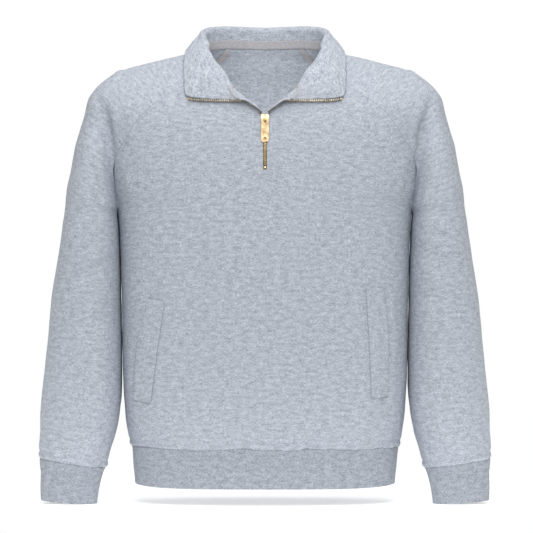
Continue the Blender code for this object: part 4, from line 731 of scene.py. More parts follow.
@dataclass(frozen=True)
class Shell:
    """Cloth of one thickness: an outer and an inner surface and a rim that rounds from one to the other."""

    thick: float
    lift: float = 0.0
    rim_steps: int = 5

    def make(self, name: str, patches: Sequence[Patch], finish: bpy.types.Material) -> bpy.types.Object:
        """Builds the closed mesh.

        The patches' points are welded where they meet. The outer surface is middle + n (lift + t / 2 +
        relief), the inner one middle + n (lift - t / 2), and the rim's rings go round from one to the other as
        a half circle that stands out of the open edge.

        Args:
            name: the piece's name.
            patches: the grids that make up the cloth.
            finish: the material.

        Returns:
            The new object.
        """
        flat = np.vstack([patch.points.reshape(-1, 3) for patch in patches])
        ways = np.vstack([patch.normals.reshape(-1, 3) for patch in patches])
        relief = np.concatenate([patch.raised().ravel() for patch in patches])
        uv = np.vstack([patch.uv().reshape(-1, 2) for patch in patches])
        _, first, ids = np.unique(np.round(flat, 2), axis=0, return_index=True, return_inverse=True)
        ids = ids.ravel()
        count = len(first)
        normal = np.zeros((count, 3))
        np.add.at(normal, ids, ways)
        normal = unit(normal)
        height = np.zeros(count)
        height[ids] = relief
        middle = flat[first]
        faces, corners = self.cells(patches, ids, middle, normal)
        outer = middle + normal * (self.lift + 0.5 * self.thick + height)[:, None]
        inner = middle + normal * (self.lift - 0.5 * self.thick)
        rim_points, rim_faces, rim_ids = self.rim(faces, middle, normal, height, count)
        points = np.vstack([outer, inner, rim_points])
        solid = [face.tolist() for face in faces]
        solid += [(face[::-1] + count).tolist() for face in faces]
        solid += rim_faces
        vertex_uv = uv[first]
        loop_uv = np.vstack(
            [uv[corner] for corner in corners]
            + [uv[corner[::-1]] for corner in corners]
            + [vertex_uv[rim_ids]]
        )
        return mesh_object(name, points, solid, finish, loop_uv)

    @staticmethod
    def cells(patches: Sequence[Patch], ids: Array, middle: Array,
              normal: Array) -> tuple[list[Array], list[Array]]:
        """Each patch's cells as faces of welded points, and of grid corners, turned to face outward."""
        faces: list[Array] = []
        corners: list[Array] = []
        offset = 0
        for patch in patches:
            rows, columns = patch.points.shape[:2]
            grid = np.arange(rows * columns).reshape(rows, columns) + offset
            offset += rows * columns
            around = [grid[:-1, :-1], grid[1:, :-1], grid[1:, 1:], grid[:-1, 1:]]
            quads = np.stack(around, axis=-1).reshape(-1, 4)
            corner = middle[ids[quads]]
            facing = np.cross(corner[:, 2] - corner[:, 0], corner[:, 3] - corner[:, 1])
            if np.sum(facing * normal[ids[quads[:, 0]]]) < 0:
                quads = quads[:, ::-1]
            welded = ids[quads]
            repeats = welded == np.roll(welded, 1, axis=1)
            whole = ~repeats.any(axis=1)
            faces += list(welded[whole])
            corners += list(quads[whole])
            for place in range(4):
                thin = repeats[:, place] & (repeats.sum(axis=1) == 1)
                faces += list(np.delete(welded[thin], place, axis=1))
                corners += list(np.delete(quads[thin], place, axis=1))
        return faces, corners

    def rim(self, faces: list[Array], middle: Array, normal: Array, height: Array,
            count: int) -> tuple[Array, list[list[int]], Array]:
        """The rounded band round every open edge.

        Args:
            faces: the outer surface's faces.
            middle: the middle surface's points.
            normal: their outward directions.
            height: their outer relief.
            count: how many points a surface has.

        Returns:
            The band's points, its faces, and the surface point each face corner takes its cloth place from.
        """
        starts = np.concatenate([face for face in faces])
        ends = np.concatenate([np.roll(face, -1) for face in faces])
        code = starts * count + ends
        open_edge = ~np.isin(code, ends * count + starts)
        a, b = starts[open_edge], ends[open_edge]
        tangent = middle[b] - middle[a]
        aside = np.cross(tangent, normal[a] + normal[b])
        away = np.zeros_like(middle)
        np.add.at(away, a, aside)
        np.add.at(away, b, aside)
        used = np.unique(np.concatenate([a, b]))
        away = unit(away[used])
        place = np.full(count, -1)
        place[used] = np.arange(len(used))
        top = self.lift + 0.5 * self.thick + height[used]
        low = self.lift - 0.5 * self.thick
        centre = middle[used] + normal[used] * (0.5 * (top + low))[:, None]
        radius = (0.5 * (top - low))[:, None]
        rings = []
        for angle in np.linspace(0.0, math.pi, self.rim_steps + 1)[1:-1]:
            rings.append(centre + radius * (math.cos(angle) * normal[used] + math.sin(angle) * away))
        starts_at = [None] + [2 * count + k * len(used) for k in range(len(rings))] + [None]

        def ring_ids(k: int, which: Array) -> Array:
            """Point numbers of ring k, the outer and inner surfaces being the first and the last."""
            if k == 0:
                return which
            if k == len(rings) + 1:
                return which + count
            return starts_at[k] + place[which]

        band = []
        corners = []
        for k in range(len(rings) + 1):
            around = [ring_ids(k, b), ring_ids(k, a), ring_ids(k + 1, a), ring_ids(k + 1, b)]
            band.append(np.stack(around, axis=1))
            corners.append(np.stack([b, a, a, b], axis=1))
        return np.vstack(rings), np.vstack(band).tolist(), np.vstack(corners).ravel()


def mesh_object(name: str, points: Array, faces: Sequence[Sequence[int]], finish: bpy.types.Material,
                loop_uv: Array | None = None, sharp: float = 60.0) -> bpy.types.Object:
    """A named object from points in millimetres, shaded smooth.

    Args:
        name: the piece's name.
        points: its points.
        faces: its faces as lists of point numbers.
        finish: its material.
        loop_uv: cloth coordinates, one for each face corner.
        sharp: the angle in degrees above which an edge stays sharp.

    Returns:
        The new object, at the origin.
    """
    mesh = bpy.data.meshes.new(name)
    mesh.from_pydata((np.asarray(points) * MM).tolist(), [], faces)
    if loop_uv is not None:
        layer = mesh.uv_layers.new(name="cloth")
        layer.data.foreach_set("uv", np.asarray(loop_uv, float).ravel())
    mesh.materials.append(finish)
    mesh.update()
    mesh.shade_smooth()
    mesh.set_sharp_from_angle(angle=math.radians(sharp))
    made = bpy.data.objects.new(name, mesh)
    bpy.context.scene.collection.objects.link(made)
    return made


# ------------------------------------------------------------------ finishes

@dataclass(frozen=True)
class Finish:
    """A surface: three tones of one colour mixed by noise, with a soft or a metal shine."""

    name: str
    dark: tuple[float, float, float]
    middle: tuple[float, float, float]
    light: tuple[float, float, float]
    roughness: float = 0.95
    metallic: float = 0.0
    sheen: float = 0.0
    fleck: float = 300.0
    stretch: float = 2.4
    bump: float = 0.25

    def build(self) -> bpy.types.Material:
        """Makes the material.

        Cloth reads its own cloth coordinates, metal the object's. Two noises, fine flecks and a slow mottle,
        are added and go through a ramp of the three tones; the fine noise also moves the surface.
        """
        made = bpy.data.materials.new(self.name)
        made.use_nodes = True
        nodes, links = made.node_tree.nodes, made.node_tree.links
        shader = nodes["Principled BSDF"]
        shader.inputs["Roughness"].default_value = self.roughness
        shader.inputs["Metallic"].default_value = self.metallic
        shader.inputs["Sheen Weight"].default_value = self.sheen
        shader.inputs["Sheen Roughness"].default_value = 0.6
        place = self.coordinates(nodes, links)
        fine = self.noise(nodes, links, place, self.fleck, 3.0)
        slow = self.noise(nodes, links, place, self.fleck * 0.27, 2.0)
        blend = nodes.new("ShaderNodeMath")
        blend.operation = "MULTIPLY_ADD"
        links.new(slow, blend.inputs[0])
        blend.inputs[1].default_value = 0.35
        weighted = nodes.new("ShaderNodeMath")
        weighted.operation = "MULTIPLY"
        links.new(fine, weighted.inputs[0])
        weighted.inputs[1].default_value = 0.65
        links.new(weighted.outputs[0], blend.inputs[2])
        ramp = nodes.new("ShaderNodeValToRGB")
        stops = ramp.color_ramp.elements
        stops[0].position, stops[0].color = 0.36, (*self.dark, 1.0)
        stops[1].position, stops[1].color = 0.64, (*self.light, 1.0)
        middle = stops.new(0.5)
        middle.color = (*self.middle, 1.0)
        links.new(blend.outputs[0], ramp.inputs["Fac"])
        links.new(ramp.outputs["Color"], shader.inputs["Base Color"])
        bump = nodes.new("ShaderNodeBump")
        bump.inputs["Strength"].default_value = self.bump
        bump.inputs["Distance"].default_value = 0.0006
        links.new(fine, bump.inputs["Height"])
        links.new(bump.outputs["Normal"], shader.inputs["Normal"])
        return made

    def coordinates(self, nodes: bpy.types.Nodes, links: bpy.types.NodeLinks) -> Socket:
        """Cloth coordinates squeezed down the cloth, or object coordinates for metal."""
        squeeze = nodes.new("ShaderNodeMapping")
        if self.metallic:
            source = nodes.new("ShaderNodeTexCoord").outputs["Object"]
        else:
            layer = nodes.new("ShaderNodeUVMap")
            layer.uv_map = "cloth"
            source = layer.outputs["UV"]
            squeeze.inputs["Scale"].default_value = (1.0, self.stretch, 1.0)
        links.new(source, squeeze.inputs["Vector"])
        return squeeze.outputs["Vector"]

    @staticmethod
    def noise(nodes: bpy.types.Nodes, links: bpy.types.NodeLinks, place: Socket, scale: float,
              detail: float) -> Socket:
        """A noise of a scale and a detail, read at a place."""
        node = nodes.new("ShaderNodeTexNoise")
        node.inputs["Scale"].default_value = scale
        node.inputs["Detail"].default_value = detail
        node.inputs["Roughness"].default_value = 0.6
        links.new(place, node.inputs["Vector"])
        return node.outputs["Fac"]


class Slot(Enum):
    """Material slots."""

    FLEECE = "fleece"
    RIB = "rib"
    TAPE = "tape"
    BRASS = "brass"


class Finishes(Enum):
    """Every finish used."""

    FLEECE = Finish("heather_fleece", (0.27, 0.295, 0.345), (0.44, 0.475, 0.535), (0.62, 0.655, 0.72),
                    0.95, 0.0, 0.05)
    RIB = Finish("heather_rib", (0.215, 0.235, 0.275), (0.345, 0.372, 0.42), (0.485, 0.515, 0.572),
                 0.95, 0.0, 0.05, 320.0, 2.0, 0.3)
    TAPE = Finish("woven_tape", (0.36, 0.35, 0.365), (0.45, 0.44, 0.455), (0.55, 0.535, 0.55),
                  0.85, 0.0, 0.1, 900.0, 0.4, 0.3)
    THREAD = Finish("thread", (0.36, 0.39, 0.44), (0.42, 0.45, 0.51), (0.48, 0.51, 0.57),
                    0.7, 0.0, 0.0, 600.0)
    ZIP_TAPE = Finish("zip_cloth", (0.05, 0.05, 0.055), (0.08, 0.08, 0.088), (0.12, 0.12, 0.13),
                      0.9, 0.0, 0.1, 900.0, 0.5, 0.3)
    BRASS = Finish("antique_brass", (0.25, 0.18, 0.095), (0.43, 0.32, 0.18), (0.60, 0.47, 0.29),
                   0.32, 1.0, 0.0, 160.0, 1.0, 0.04)
    TEETH = Finish("worn_brass", (0.20, 0.17, 0.125), (0.42, 0.37, 0.29), (0.64, 0.59, 0.50),
                   0.35, 1.0, 0.0, 300.0, 1.0, 0.04)

    def made(self) -> bpy.types.Material:
        """The material, built on first use."""
        return bpy.data.materials.get(self.value.name) or self.value.build()


@dataclass(frozen=True)
class Cut:
    """The flat size that shows of a piece of cloth, in metres, its flat area and how it is held."""

    width: float
    length: float
    area: float
    held: str


@dataclass
class Wardrobe:
    """Keeps finished pieces, lets each ride its body and hides the node it stands for."""

    made: dict[str, bpy.types.Object] = field(default_factory=dict)

    def add(self, piece: bpy.types.Object, slot: Slot, node: str | None = None,
            body: str = BODY_NAME) -> bpy.types.Object:
        """Lets a piece ride a body and hides the node it stands for.

        Args:
            piece: the new object.
            slot: its material slot, which is not used.
            node: the node it replaces, if it stands for one.
            body: the body it moves with.

        Returns:
            The same object.
        """
        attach(piece, body)
        if node:
            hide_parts(node)
        self.made[piece.name.rsplit(".", 1)[0].removesuffix(CLOTH_SUFFIX)] = piece
        LOG.info("%s: %d points, %d faces", piece.name, len(piece.data.vertices), len(piece.data.polygons))
        return piece

    def declare(self) -> None:
        """Does nothing: no piece of cloth is declared as a sheet."""


def patch_area(patches: Iterable[Patch]) -> float:
    """The patches' area in square metres: half the length of each cell's crossed diagonals."""
    total = 0.0
    for patch in patches:
        grid = patch.points
        crossed = np.cross(grid[1:, 1:] - grid[:-1, :-1], grid[1:, :-1] - grid[:-1, 1:])
        total += 0.5 * np.linalg.norm(crossed, axis=-1).sum()
    return total * MM * MM


# ------------------------------------------------------------------ panels

def gathered(points: Array) -> Array:
    """How far the ribs' pull puckers the cloth above them, fading up over about 20 mm."""
    x, y, z = np.moveaxis(points, -1, 0)
    on_arm = np.abs(x) > ARM_INSIDE_X
    seam = np.where(on_arm, CUFF_SEAM + CUFF_SEAM_SLOPE * (np.abs(x) - CUFF_CENTRE_X), HEM_SEAM)
    near = np.exp(-np.clip(z - seam, 0.0, 200.0) / 20.0)
    run = x + 0.9 * y
    pucker = np.sin(run / 5.6 + 2.2 * np.sin(run / 27.0)) + 0.5 * np.sin(run / 3.1 + 1.7)
    slow = np.sin(run / 15.0 + 1.5 * np.sin(run / 43.0) + (z - seam) / 9.0)
    return near * (0.4 * pucker + 0.8 * slow)


def seam_wave(points: Array) -> Array:
    """Points with the hem seam's slight unevenness: a shift in height that fades away from the seam."""
    x, y, z = np.moveaxis(points, -1, 0)
    wave = 1.1 * np.sin(x / 19.0 + y / 41.0) + 0.6 * np.sin(x / 7.3 + y / 13.0 + 0.8)
    wave = np.where(np.abs(x) < ARM_INSIDE_X, wave, 0.0)
    moved = points.copy()
    moved[..., 2] = z + wave * np.exp(-np.abs(z - HEM_SEAM) / 16.0)
    return moved


def dressed(points: Array, normals: Array, formal: Array, edge_relief: Array | None = None) -> Patch:
    """A patch with its folds, creases, puckers and seam unevenness."""
    laid = DRAPE.laid(points, formal) + formal * gathered(points)[..., None]
    return Patch(seam_wave(laid), normals, edge_relief)


def bottom_ridge(points: Array, seam: Array | float) -> Array:
    """The allowance above a rib: 1.5 exp(-((h - 5) / 3.4)^2) - 0.9 exp(-((h - 12) / 2.6)^2) at height h."""
    above = points[..., 2] - seam
    return 1.5 * np.exp(-(((above - 5.0) / 3.4) ** 2)) - 0.9 * np.exp(-(((above - 12.0) / 2.6) ** 2))


@dataclass(frozen=True)
class FrontPanel:
    """The front, slit for the zip, with the lapels turned out at the neck."""

    lapel_turns: tuple[tuple[float, float], ...] = ((21.5, 33.5), (17.0, 24.5), (11.0, 15.0), (5.5, 7.0))
    lapel_shares: tuple[float, ...] = (1.0, 0.6, 0.25, 0.17, 0.13, 0.09, 0.05, 0.0)
    zip_levels: tuple[float, ...] = (-93.0, -108.0, -124.0, -141.0, -158.0, -181.0, -181.6)
    edge_steps: tuple[float, ...] = (0.0, 4.0, 8.0, 11.0, 14.0, 17.0, 20.0, 24.0)
    top_steps_share: float = 0.45
    chest_columns: int = 84

    def near(self) -> Array:
        """The columns beside the zip, in units of the CAD's own."""
        return np.concatenate([np.linspace(0.0, 2.0, 11), np.linspace(2.0, 7.0, 16)[1:]])

    def lapel(self, key: float) -> Array:
        """A lapel row, from the zip's edge over the fold to its foot."""
        turns = np.array(self.lapel_turns)
        edge, foot = (np.interp(key, np.arange(len(turns)), turns[:, side]) for side in (0, 1))
        shares = np.interp(self.near(), np.arange(len(self.lapel_shares)), self.lapel_shares)
        return NECK.at(foot + (edge - foot) * shares, shares)

    def flat(self, key: float, end: Array) -> Array:
        """A row that lies on the body, from beside the zip to the outer edge."""
        levels = len(self.zip_levels)
        slit = key - len(self.lapel_turns)
        if slit < levels - 1:
            level = float(np.interp(slit, np.arange(levels), self.zip_levels))
            half = SLIT_HALF * float(np.clip(levels - 1 - slit, 0.0, 1.0))
        else:
            closed = self.zip_levels[-1]
            below = min((key - len(self.lapel_turns) - levels + 1), 1.0)
            level = closed + (SEAMS.pit[2] - closed) * below if key < YOKE_ROWS else end[2]
            half = 0.0
        middle = FORM.seen_from(-1.0, np.array([half]), np.array([level]))[0]
        line = body_line(middle, end)
        length = run_lengths(line)[-1]
        scale = float(np.interp(slit, [0.0, 1.0], [self.top_steps_share, 1.0]))
        steps = np.interp(self.near(), np.arange(len(self.edge_steps)), self.edge_steps) * scale / length
        even = np.linspace(0.0, 1.0, self.chest_columns + 1)[1:]
        return resample(line, np.concatenate([steps, steps[-1] + (1.0 - steps[-1]) * even]))

    def chest(self, foot: Array, end: Array) -> Array:
        """The rest of a lapel row: from the fold's foot across the chest."""
        return resample(body_line(foot, end), np.linspace(0.0, 1.0, self.chest_columns + 1))

    def grid(self) -> Array:
        """The left half's rows, from the zip or the centre to the outer edge."""
        outer = SEAMS.outer(SEAMS.front)
        last_lapel = float(len(self.lapel_turns) - 1)
        turn = np.linspace(SEAM_LEAVES_FOLD, FRONT_RAGLAN_TURN, 80)
        even = np.linspace(0.0, 1.0, self.chest_columns + 1)
        seam = resample(NECK.at(turn, np.full_like(turn, -1.0)), even)
        top = self.lapel(0.0)
        away = seam - self.chest(top[-1], outer[0])
        rows = []
        fillet = self.flat(float(YOKE_ROWS), outer[SEAMS.count - 1]) - self.flat(
            float(YOKE_ROWS) + 1.0, SEAMS.pit - np.array([0.0, 0.0, 1e-6]))
        for index, end in enumerate(outer):
            key = SEAMS.key[index] if index < SEAMS.count else float(YOKE_ROWS) + 1.0
            if key <= last_lapel + 1e-9:
                near = self.lapel(key)
                chest = self.chest(near[-1], end) + away * max(1.0 - key, 0.0) ** 2
            elif key < last_lapel + 1.0 - 1e-9:
                mix = key - last_lapel
                full = self.flat(last_lapel + 1.0, end)
                count = len(self.near())
                near = self.lapel(last_lapel) * (1.0 - mix) + full[:count] * mix
                chest = self.chest(near[-1], end)
            else:
                row = self.flat(key, end)
                if index >= SEAMS.count:
                    row = row + fillet * math.exp(-(((end[2] - SEAMS.pit[2]) / PIT_FADE) ** 2))
                rows.append(row)
                continue
            rows.append(np.vstack([near, chest[1:]]))
        return np.array(rows)

    def patches(self) -> list[Patch]:
        """Both halves, with folds and the ridge above the hem."""
        grid = pushed_in(self.grid(), "tbr", SEAM_INSET)
        formal = FORM.outward(grid)
        own = grid_normals(grid)
        own *= np.sign(np.sum(own[-1] * formal[-1]))
        row = np.arange(len(grid))[:, None]
        column = np.arange(grid.shape[1])[None, :]
        lapel_rows = SEAMS.raglan_steps * len(self.lapel_turns)
        lapel = np.clip((lapel_rows - row) / 3.0, 0.0, 1.0)
        lapel = lapel * np.clip((len(self.near()) + 1 - column) / 3.0, 0.0, 1.0)
        normals = unit(own * lapel[..., None] + formal * (1.0 - lapel[..., None]))
        centre = np.abs(grid[..., 0]) < 1e-6
        for ways in (normals, formal):
            ways[..., 0] = np.where(centre, 0.0, ways[..., 0])
        left = dressed(grid, unit(normals), unit(formal), bottom_ridge(grid, HEM_SEAM))
        right = dressed(grid * MIRROR, unit(normals) * MIRROR, unit(formal) * MIRROR,
                        bottom_ridge(grid, HEM_SEAM))
        return [left, right]


@dataclass(frozen=True)
class BackPanel:
    """The back, in one piece from raglan to raglan."""

    columns: int = 64
    top: float = 19.0

    def grid(self) -> Array:
        """The left half's rows, from the centre back to the outer edge."""
        outer = SEAMS.outer(SEAMS.back)
        share = np.linspace(0.0, 1.0, self.columns + 1)
        turn = np.linspace(180.0, BACK_RAGLAN_TURN, 80)
        seam = resample(NECK.at(turn, np.full_like(turn, -1.0)), share)
        heights = self.top + (SEAMS.pit[2] - self.top) * SEAMS.key / YOKE_ROWS
        rows = []
        away = np.zeros_like(seam)
        fillet = np.zeros_like(seam)
        for index, end in enumerate(outer):
            height = heights[index] if index < SEAMS.count else end[2]
            middle = FORM.on_neck(180.0, height)[0]
            middle[0] = 0.0
            row = resample(body_line(middle, end, behind=True), share)
            if index == 0:
                away = seam - row
            if index == SEAMS.count - 1:
                plain = body_line(middle, SEAMS.pit - np.array([0.0, 0.0, 1e-6]), behind=True)
                fillet = row - resample(plain, share)
            if index >= SEAMS.count:
                row = row + fillet * math.exp(-(((end[2] - SEAMS.pit[2]) / PIT_FADE) ** 2))
            key = index / SEAMS.raglan_steps
            rows.append(row + away * max(1.0 - key, 0.0) ** 2)
        grid = np.array(rows)
        grid[:, 0, 0] = 0.0
        return grid

    def patches(self) -> list[Patch]:
        """Both halves, with folds and the ridge above the hem."""
        grid = pushed_in(self.grid(), "tbr", SEAM_INSET)
        formal = FORM.outward(grid)
        formal[:, 0, 0] = 0.0
        formal = unit(formal)
        ridge = bottom_ridge(grid, HEM_SEAM)
        left = dressed(grid, formal, formal, ridge)
        return [left, dressed(grid * MIRROR, formal * MIRROR, formal * MIRROR, ridge)]


def arm_loop(level: float, slope: float = 0.0, count: int = 97) -> Array:
    """An arm's level or sloping section, from its inner line round the front to the inner line again."""
    angle = np.linspace(math.pi, -math.pi, count)
    height = np.full(count, level)
    for _ in range(3):
        centre, wide, deep, middle, square = smooth_rows(ARM, height).T
        shape = (np.abs(np.cos(angle)) ** square + np.abs(np.sin(angle)) ** square) ** (-1.0 / square)
        across = wide * np.cos(angle) * shape
        height = level + slope * across
    return np.stack([centre + across, middle - deep * np.sin(angle) * shape, height], axis=1)


@dataclass(frozen=True)
class Sleeve:
    """A raglan sleeve: an open arc over the shoulder, then a closed tube down to the cuff."""

    columns: int = 150
    tube_rows: int = 84
    wrist_rows: int = 14
    joining_rows: int = 3
    fork_level: float = -144.0
    fork_reach: float = 26.0
    fold_y: float = 22.0
    fold_wide: float = 9.0

    def yoke_row(self, index: int, tops: Array, hearts: Array) -> Array:
        """A line over the shoulder, by rays from inside that fan out between the two raglan seams."""
        heart = np.array([hearts[index, 0], SIDE_Y, hearts[index, 1]])
        top = np.array([tops[index, 0], SIDE_Y, tops[index, 1]])
        out = unit(top - heart)
        front = np.array([0.0, -1.0, 0.0])
        third = np.cross(out, front)
        ends = []
        for point, sign in ((SEAMS.front[index], 1.0), (SEAMS.back[index], -1.0)):
            way = unit(point - heart)
            angle = math.atan2(abs(way @ front), way @ out)
            if index == SEAMS.count - 1:
                angle = math.pi
            ends.append((sign * angle, (way @ third) / math.hypot(way @ front, way @ out)))
        (angle0, tilt0), (angle1, tilt1) = ends
        angle = np.linspace(angle0, angle1, self.columns + 1)
        tilt = np.where(angle > 0, tilt0 * (angle / angle0) ** 2, tilt1 * (angle / angle1) ** 2)
        way = np.cos(angle)[:, None] * out + np.sin(angle)[:, None] * front + tilt[:, None] * third
        start = np.tile(heart, (len(way), 1))
        line = FORM.reach(start, way)
        if heart[2] < self.fork_level:
            own = FORM.reach(start, way, FORM.arm)
            far = np.linalg.norm(line - own, axis=1) > self.fork_reach
            line = np.where(far[:, None], own, line)
        line[0] = SEAMS.front[index]
        line[-1] = SEAMS.back[index]
        return line

    def grid(self) -> Array:
        """The left sleeve's rows, from the neck to the cuff."""
        tops = along_table(SHOULDER, SEAMS.key / YOKE_ROWS)
        hearts = along_table(SLEEVE_HEART, SEAMS.key / YOKE_ROWS)
        even = np.linspace(0.0, 1.0, self.columns + 1)
        turn = np.linspace(FRONT_RAGLAN_TURN, BACK_RAGLAN_TURN, 120)
        seam = resample(NECK.at(turn, np.full_like(turn, -1.0)), even)
        rows = [resample(self.yoke_row(index, tops, hearts), even) for index in range(SEAMS.count)]
        away = seam - rows[0]
        for index in range(SEAMS.raglan_steps):
            rows[index] = rows[index] + away * (1.0 - index / SEAMS.raglan_steps) ** 2
        yoke = pushed_in(np.array(rows), "lr", SEAM_INSET)
        yoke[:, [0, -1]] += SEAMS.spread[:, None, :]
        middle = 0.5 * (yoke[-1, 0] + yoke[-1, -1]) + np.array([0.0, 0.0, -1.2])
        yoke[-1, [0, -1]] = middle
        wrist = CUFF_SEAM + 20.0
        levels = np.concatenate([
            np.linspace(ARM_TOP_LEVEL, wrist, self.tube_rows),
            np.linspace(wrist, CUFF_SEAM, self.wrist_rows)[1:],
        ])
        slopes = np.interp(-levels, [260.0, 500.0, -CUFF_SEAM], [0.0, 0.04, CUFF_SEAM_SLOPE])
        tube = np.array([resample(arm_loop(level, slope), even) for level, slope in zip(levels, slopes)])
        mix = np.linspace(0.0, 1.0, self.joining_rows + 2)[1:-1, None, None]
        joining = FORM.settled(yoke[-1] * (1.0 - mix) + tube[0] * mix, FORM.arm)
        joining[:, -1] = joining[:, 0]
        below = np.concatenate([joining, tube])
        fillet = yoke[-1] - FORM.settled(yoke[-1], FORM.arm)
        fall = SEAMS.pit[2] - below[..., 2:3]
        below = below + fillet * np.exp(-((np.clip(fall, 0.0, 200.0) / PIT_FADE) ** 2))
        grid = np.concatenate([yoke, below])
        return pushed_in(grid, "tb", SEAM_INSET)

    def leaning(self, grid: Array, normals: Array) -> Array:
        """A long fold behind the sleeve's inner line, leaning to the body so that no light passes between.

        Its top is drawn to 0.3 mm past the line of sight through the middle of the gap, and stays 0.3 mm off
        the body.
        """
        height = grid[..., 2]
        wide_body, _, back, square_body = np.moveaxis(smooth_rows(BODY, height), -1, 0)
        centre, wide, deep, middle, square = np.moveaxis(smooth_rows(ARM, height), -1, 0)
        turned = np.clip(np.abs(self.fold_y - middle) / deep, 0.0, 1.0)
        arm = centre - wide * (1.0 - turned ** square) ** (1.0 / square)
        body = wide_body * (1.0 - ((self.fold_y - SIDE_Y) / back) ** square_body) ** (1.0 / square_body)
        sight = 0.5 * (wide_body + centre - wide) + 0.046 * (self.fold_y - SIDE_Y)
        rise = np.clip(np.minimum(arm - sight - 0.5 * FLEECE + 0.3, arm - body - FLEECE - 0.3), 0.0, 6.0)
        rise *= np.interp(height, [-575.0, -545.0, -252.0, -244.0], [0.0, 1.0, 1.0, 0.0])
        inner = np.clip(-normals[..., 0], 0.0, 1.0) ** 2
        return rise * inner * np.exp(-(((grid[..., 1] - self.fold_y) / self.fold_wide) ** 2))

    def patches(self, side: float) -> list[Patch]:
        """A sleeve on one side, its folds being that side's own."""
        grid = self.grid()
        normals = FORM.outward(grid, FORM.arm)
        pit = SEAMS.count - 1
        turn = FORM.outward(grid[pit]) - normals[pit]
        fall = np.clip(SEAMS.pit[2] - grid[SEAMS.count :, :, 2:3], 0.0, 200.0)
        normals[SEAMS.count :] = unit(normals[SEAMS.count :] + turn * np.exp(-((fall / PIT_FADE) ** 2)))
        normals[: SEAMS.count] = FORM.outward(grid[: SEAMS.count])
        normals[pit, [0, -1]] = unit(normals[pit, 0] + np.array([-1.0, 0.0, 0.0]))
        flip = on_side(side)
        seam = CUFF_SEAM + CUFF_SEAM_SLOPE * (grid[..., 0] - CUFF_CENTRE_X)
        grid = grid + normals * self.leaning(grid, normals)[..., None]
        patch = dressed(grid * flip, normals * flip, normals * flip, bottom_ridge(grid, seam))
        patch.points[SEAMS.count - 1 :, -1] = patch.points[SEAMS.count - 1 :, 0]
        return [patch]


# ------------------------------------------------------------------ neck

def neck_normals(turn: Array, share: Array) -> Array:
    """The neck cloth's outer side: slope by turn crossed with slope by share, outwards on the stand."""
    turn, share = np.broadcast_arrays(np.asarray(turn, float), np.asarray(share, float))
    turn_low = np.clip(turn - 0.4, 2.0, 180.0)
    turn_high = np.clip(turn + 0.4, 2.0, 180.0)
    share_low = np.where(share <= -1.0 + 0.02, -1.0, share - 0.015)
    share_high = np.clip(share + 0.015, -1.0, 1.0)
    by_turn = NECK.at(turn_high, share) - NECK.at(turn_low, share)
    by_share = NECK.at(turn, share_high) - NECK.at(turn, share_low)
    return unit(np.cross(by_turn, by_share))


def seam_turn(share: Array) -> Array:
    """Where the neck seam crosses the turned-over cloth: from the fold's foot out to the zip's edge."""
    return SEAM_LEAVES_FOLD + (SEAM_AT_ZIP - SEAM_LEAVES_FOLD) * np.clip(share, 0.0, 1.0)


@dataclass(frozen=True)
class Collar:
    """The collar: a stand, a round fold and a leaf that lies out over the shoulders."""

    coarse_turns: int = 28
    tip_column: int = 5
    tip_step: float = 2.0
    fine: int = 6
    stand_rows: int = 14
    fold_rows: int = 13
    leaf_rows: int = 26
    edge_turn_inset: float = 0.75

    def turns(self, share: float) -> Array:
        """The columns' turns at one share, from the neck seam through the tip to the centre back."""
        start = float(seam_turn(np.array(share))) + self.edge_turn_inset
        tip = start + (COLLAR_TIP_TURN - start) * (0.55 + 0.45 * max(share, 0.0))
        front = np.linspace(start, tip, self.tip_column + 1)
        back = np.linspace(0.0, 1.0, self.coarse_turns - self.tip_column) ** 1.2
        coarse = np.concatenate([front, tip + self.tip_step + (180.0 - tip - self.tip_step) * back])
        key = np.linspace(0.0, len(coarse) - 1.0, (len(coarse) - 1) * self.fine + 1)
        return smooth_rows(np.column_stack([np.arange(len(coarse)), coarse]), key)[:, 0]

    def patches(self) -> list[Patch]:
        """Both halves, welded at the centre back."""
        base = self.turns(0.0)
        fold, foot = NECK.at(base, np.zeros_like(base)), NECK.at(base, np.full_like(base, -1.0))
        stand = np.linalg.norm(fold - foot, axis=1)
        start = -1.0 + np.minimum(0.5 * DOUBLE_FLEECE / np.maximum(stand, 0.5), 0.9)
        low = start[None, :] * (1.0 - np.linspace(0.0, 1.0, self.stand_rows + 1)[:-1, None])
        low = np.minimum(low, -1e-6)
        turn_rows = [np.broadcast_to(base, low.shape)]
        share_rows = [low]
        shares = np.concatenate([
            np.linspace(0.0, 0.25, self.fold_rows),
            np.linspace(0.25, 1.0 - 0.5 * DOUBLE_FLEECE / 60.0, self.leaf_rows)[1:],
        ])
        for share in shares:
            turns = self.turns(float(share))
            turn_rows.append(turns[None, :])
            share_rows.append(np.full((1, len(turns)), share))
        turn, share = np.vstack(turn_rows), np.vstack(share_rows)
        points = NECK.at(turn, share)
        normals = neck_normals(turn, share)
        points[:, -1, 0] = 0.0
        normals[:, -1, 0] = 0.0
        normals = unit(normals)
        both = []
        for side in (np.ones(3), MIRROR):
            formal = unit(FORM.outward(points) * side)
            formal[:, -1, 0] = 0.0
            laid = DRAPE.laid(points * side, formal)
            laid[:, -1, 0] = 0.0
            both.append(Patch(laid, normals * side))
        return both


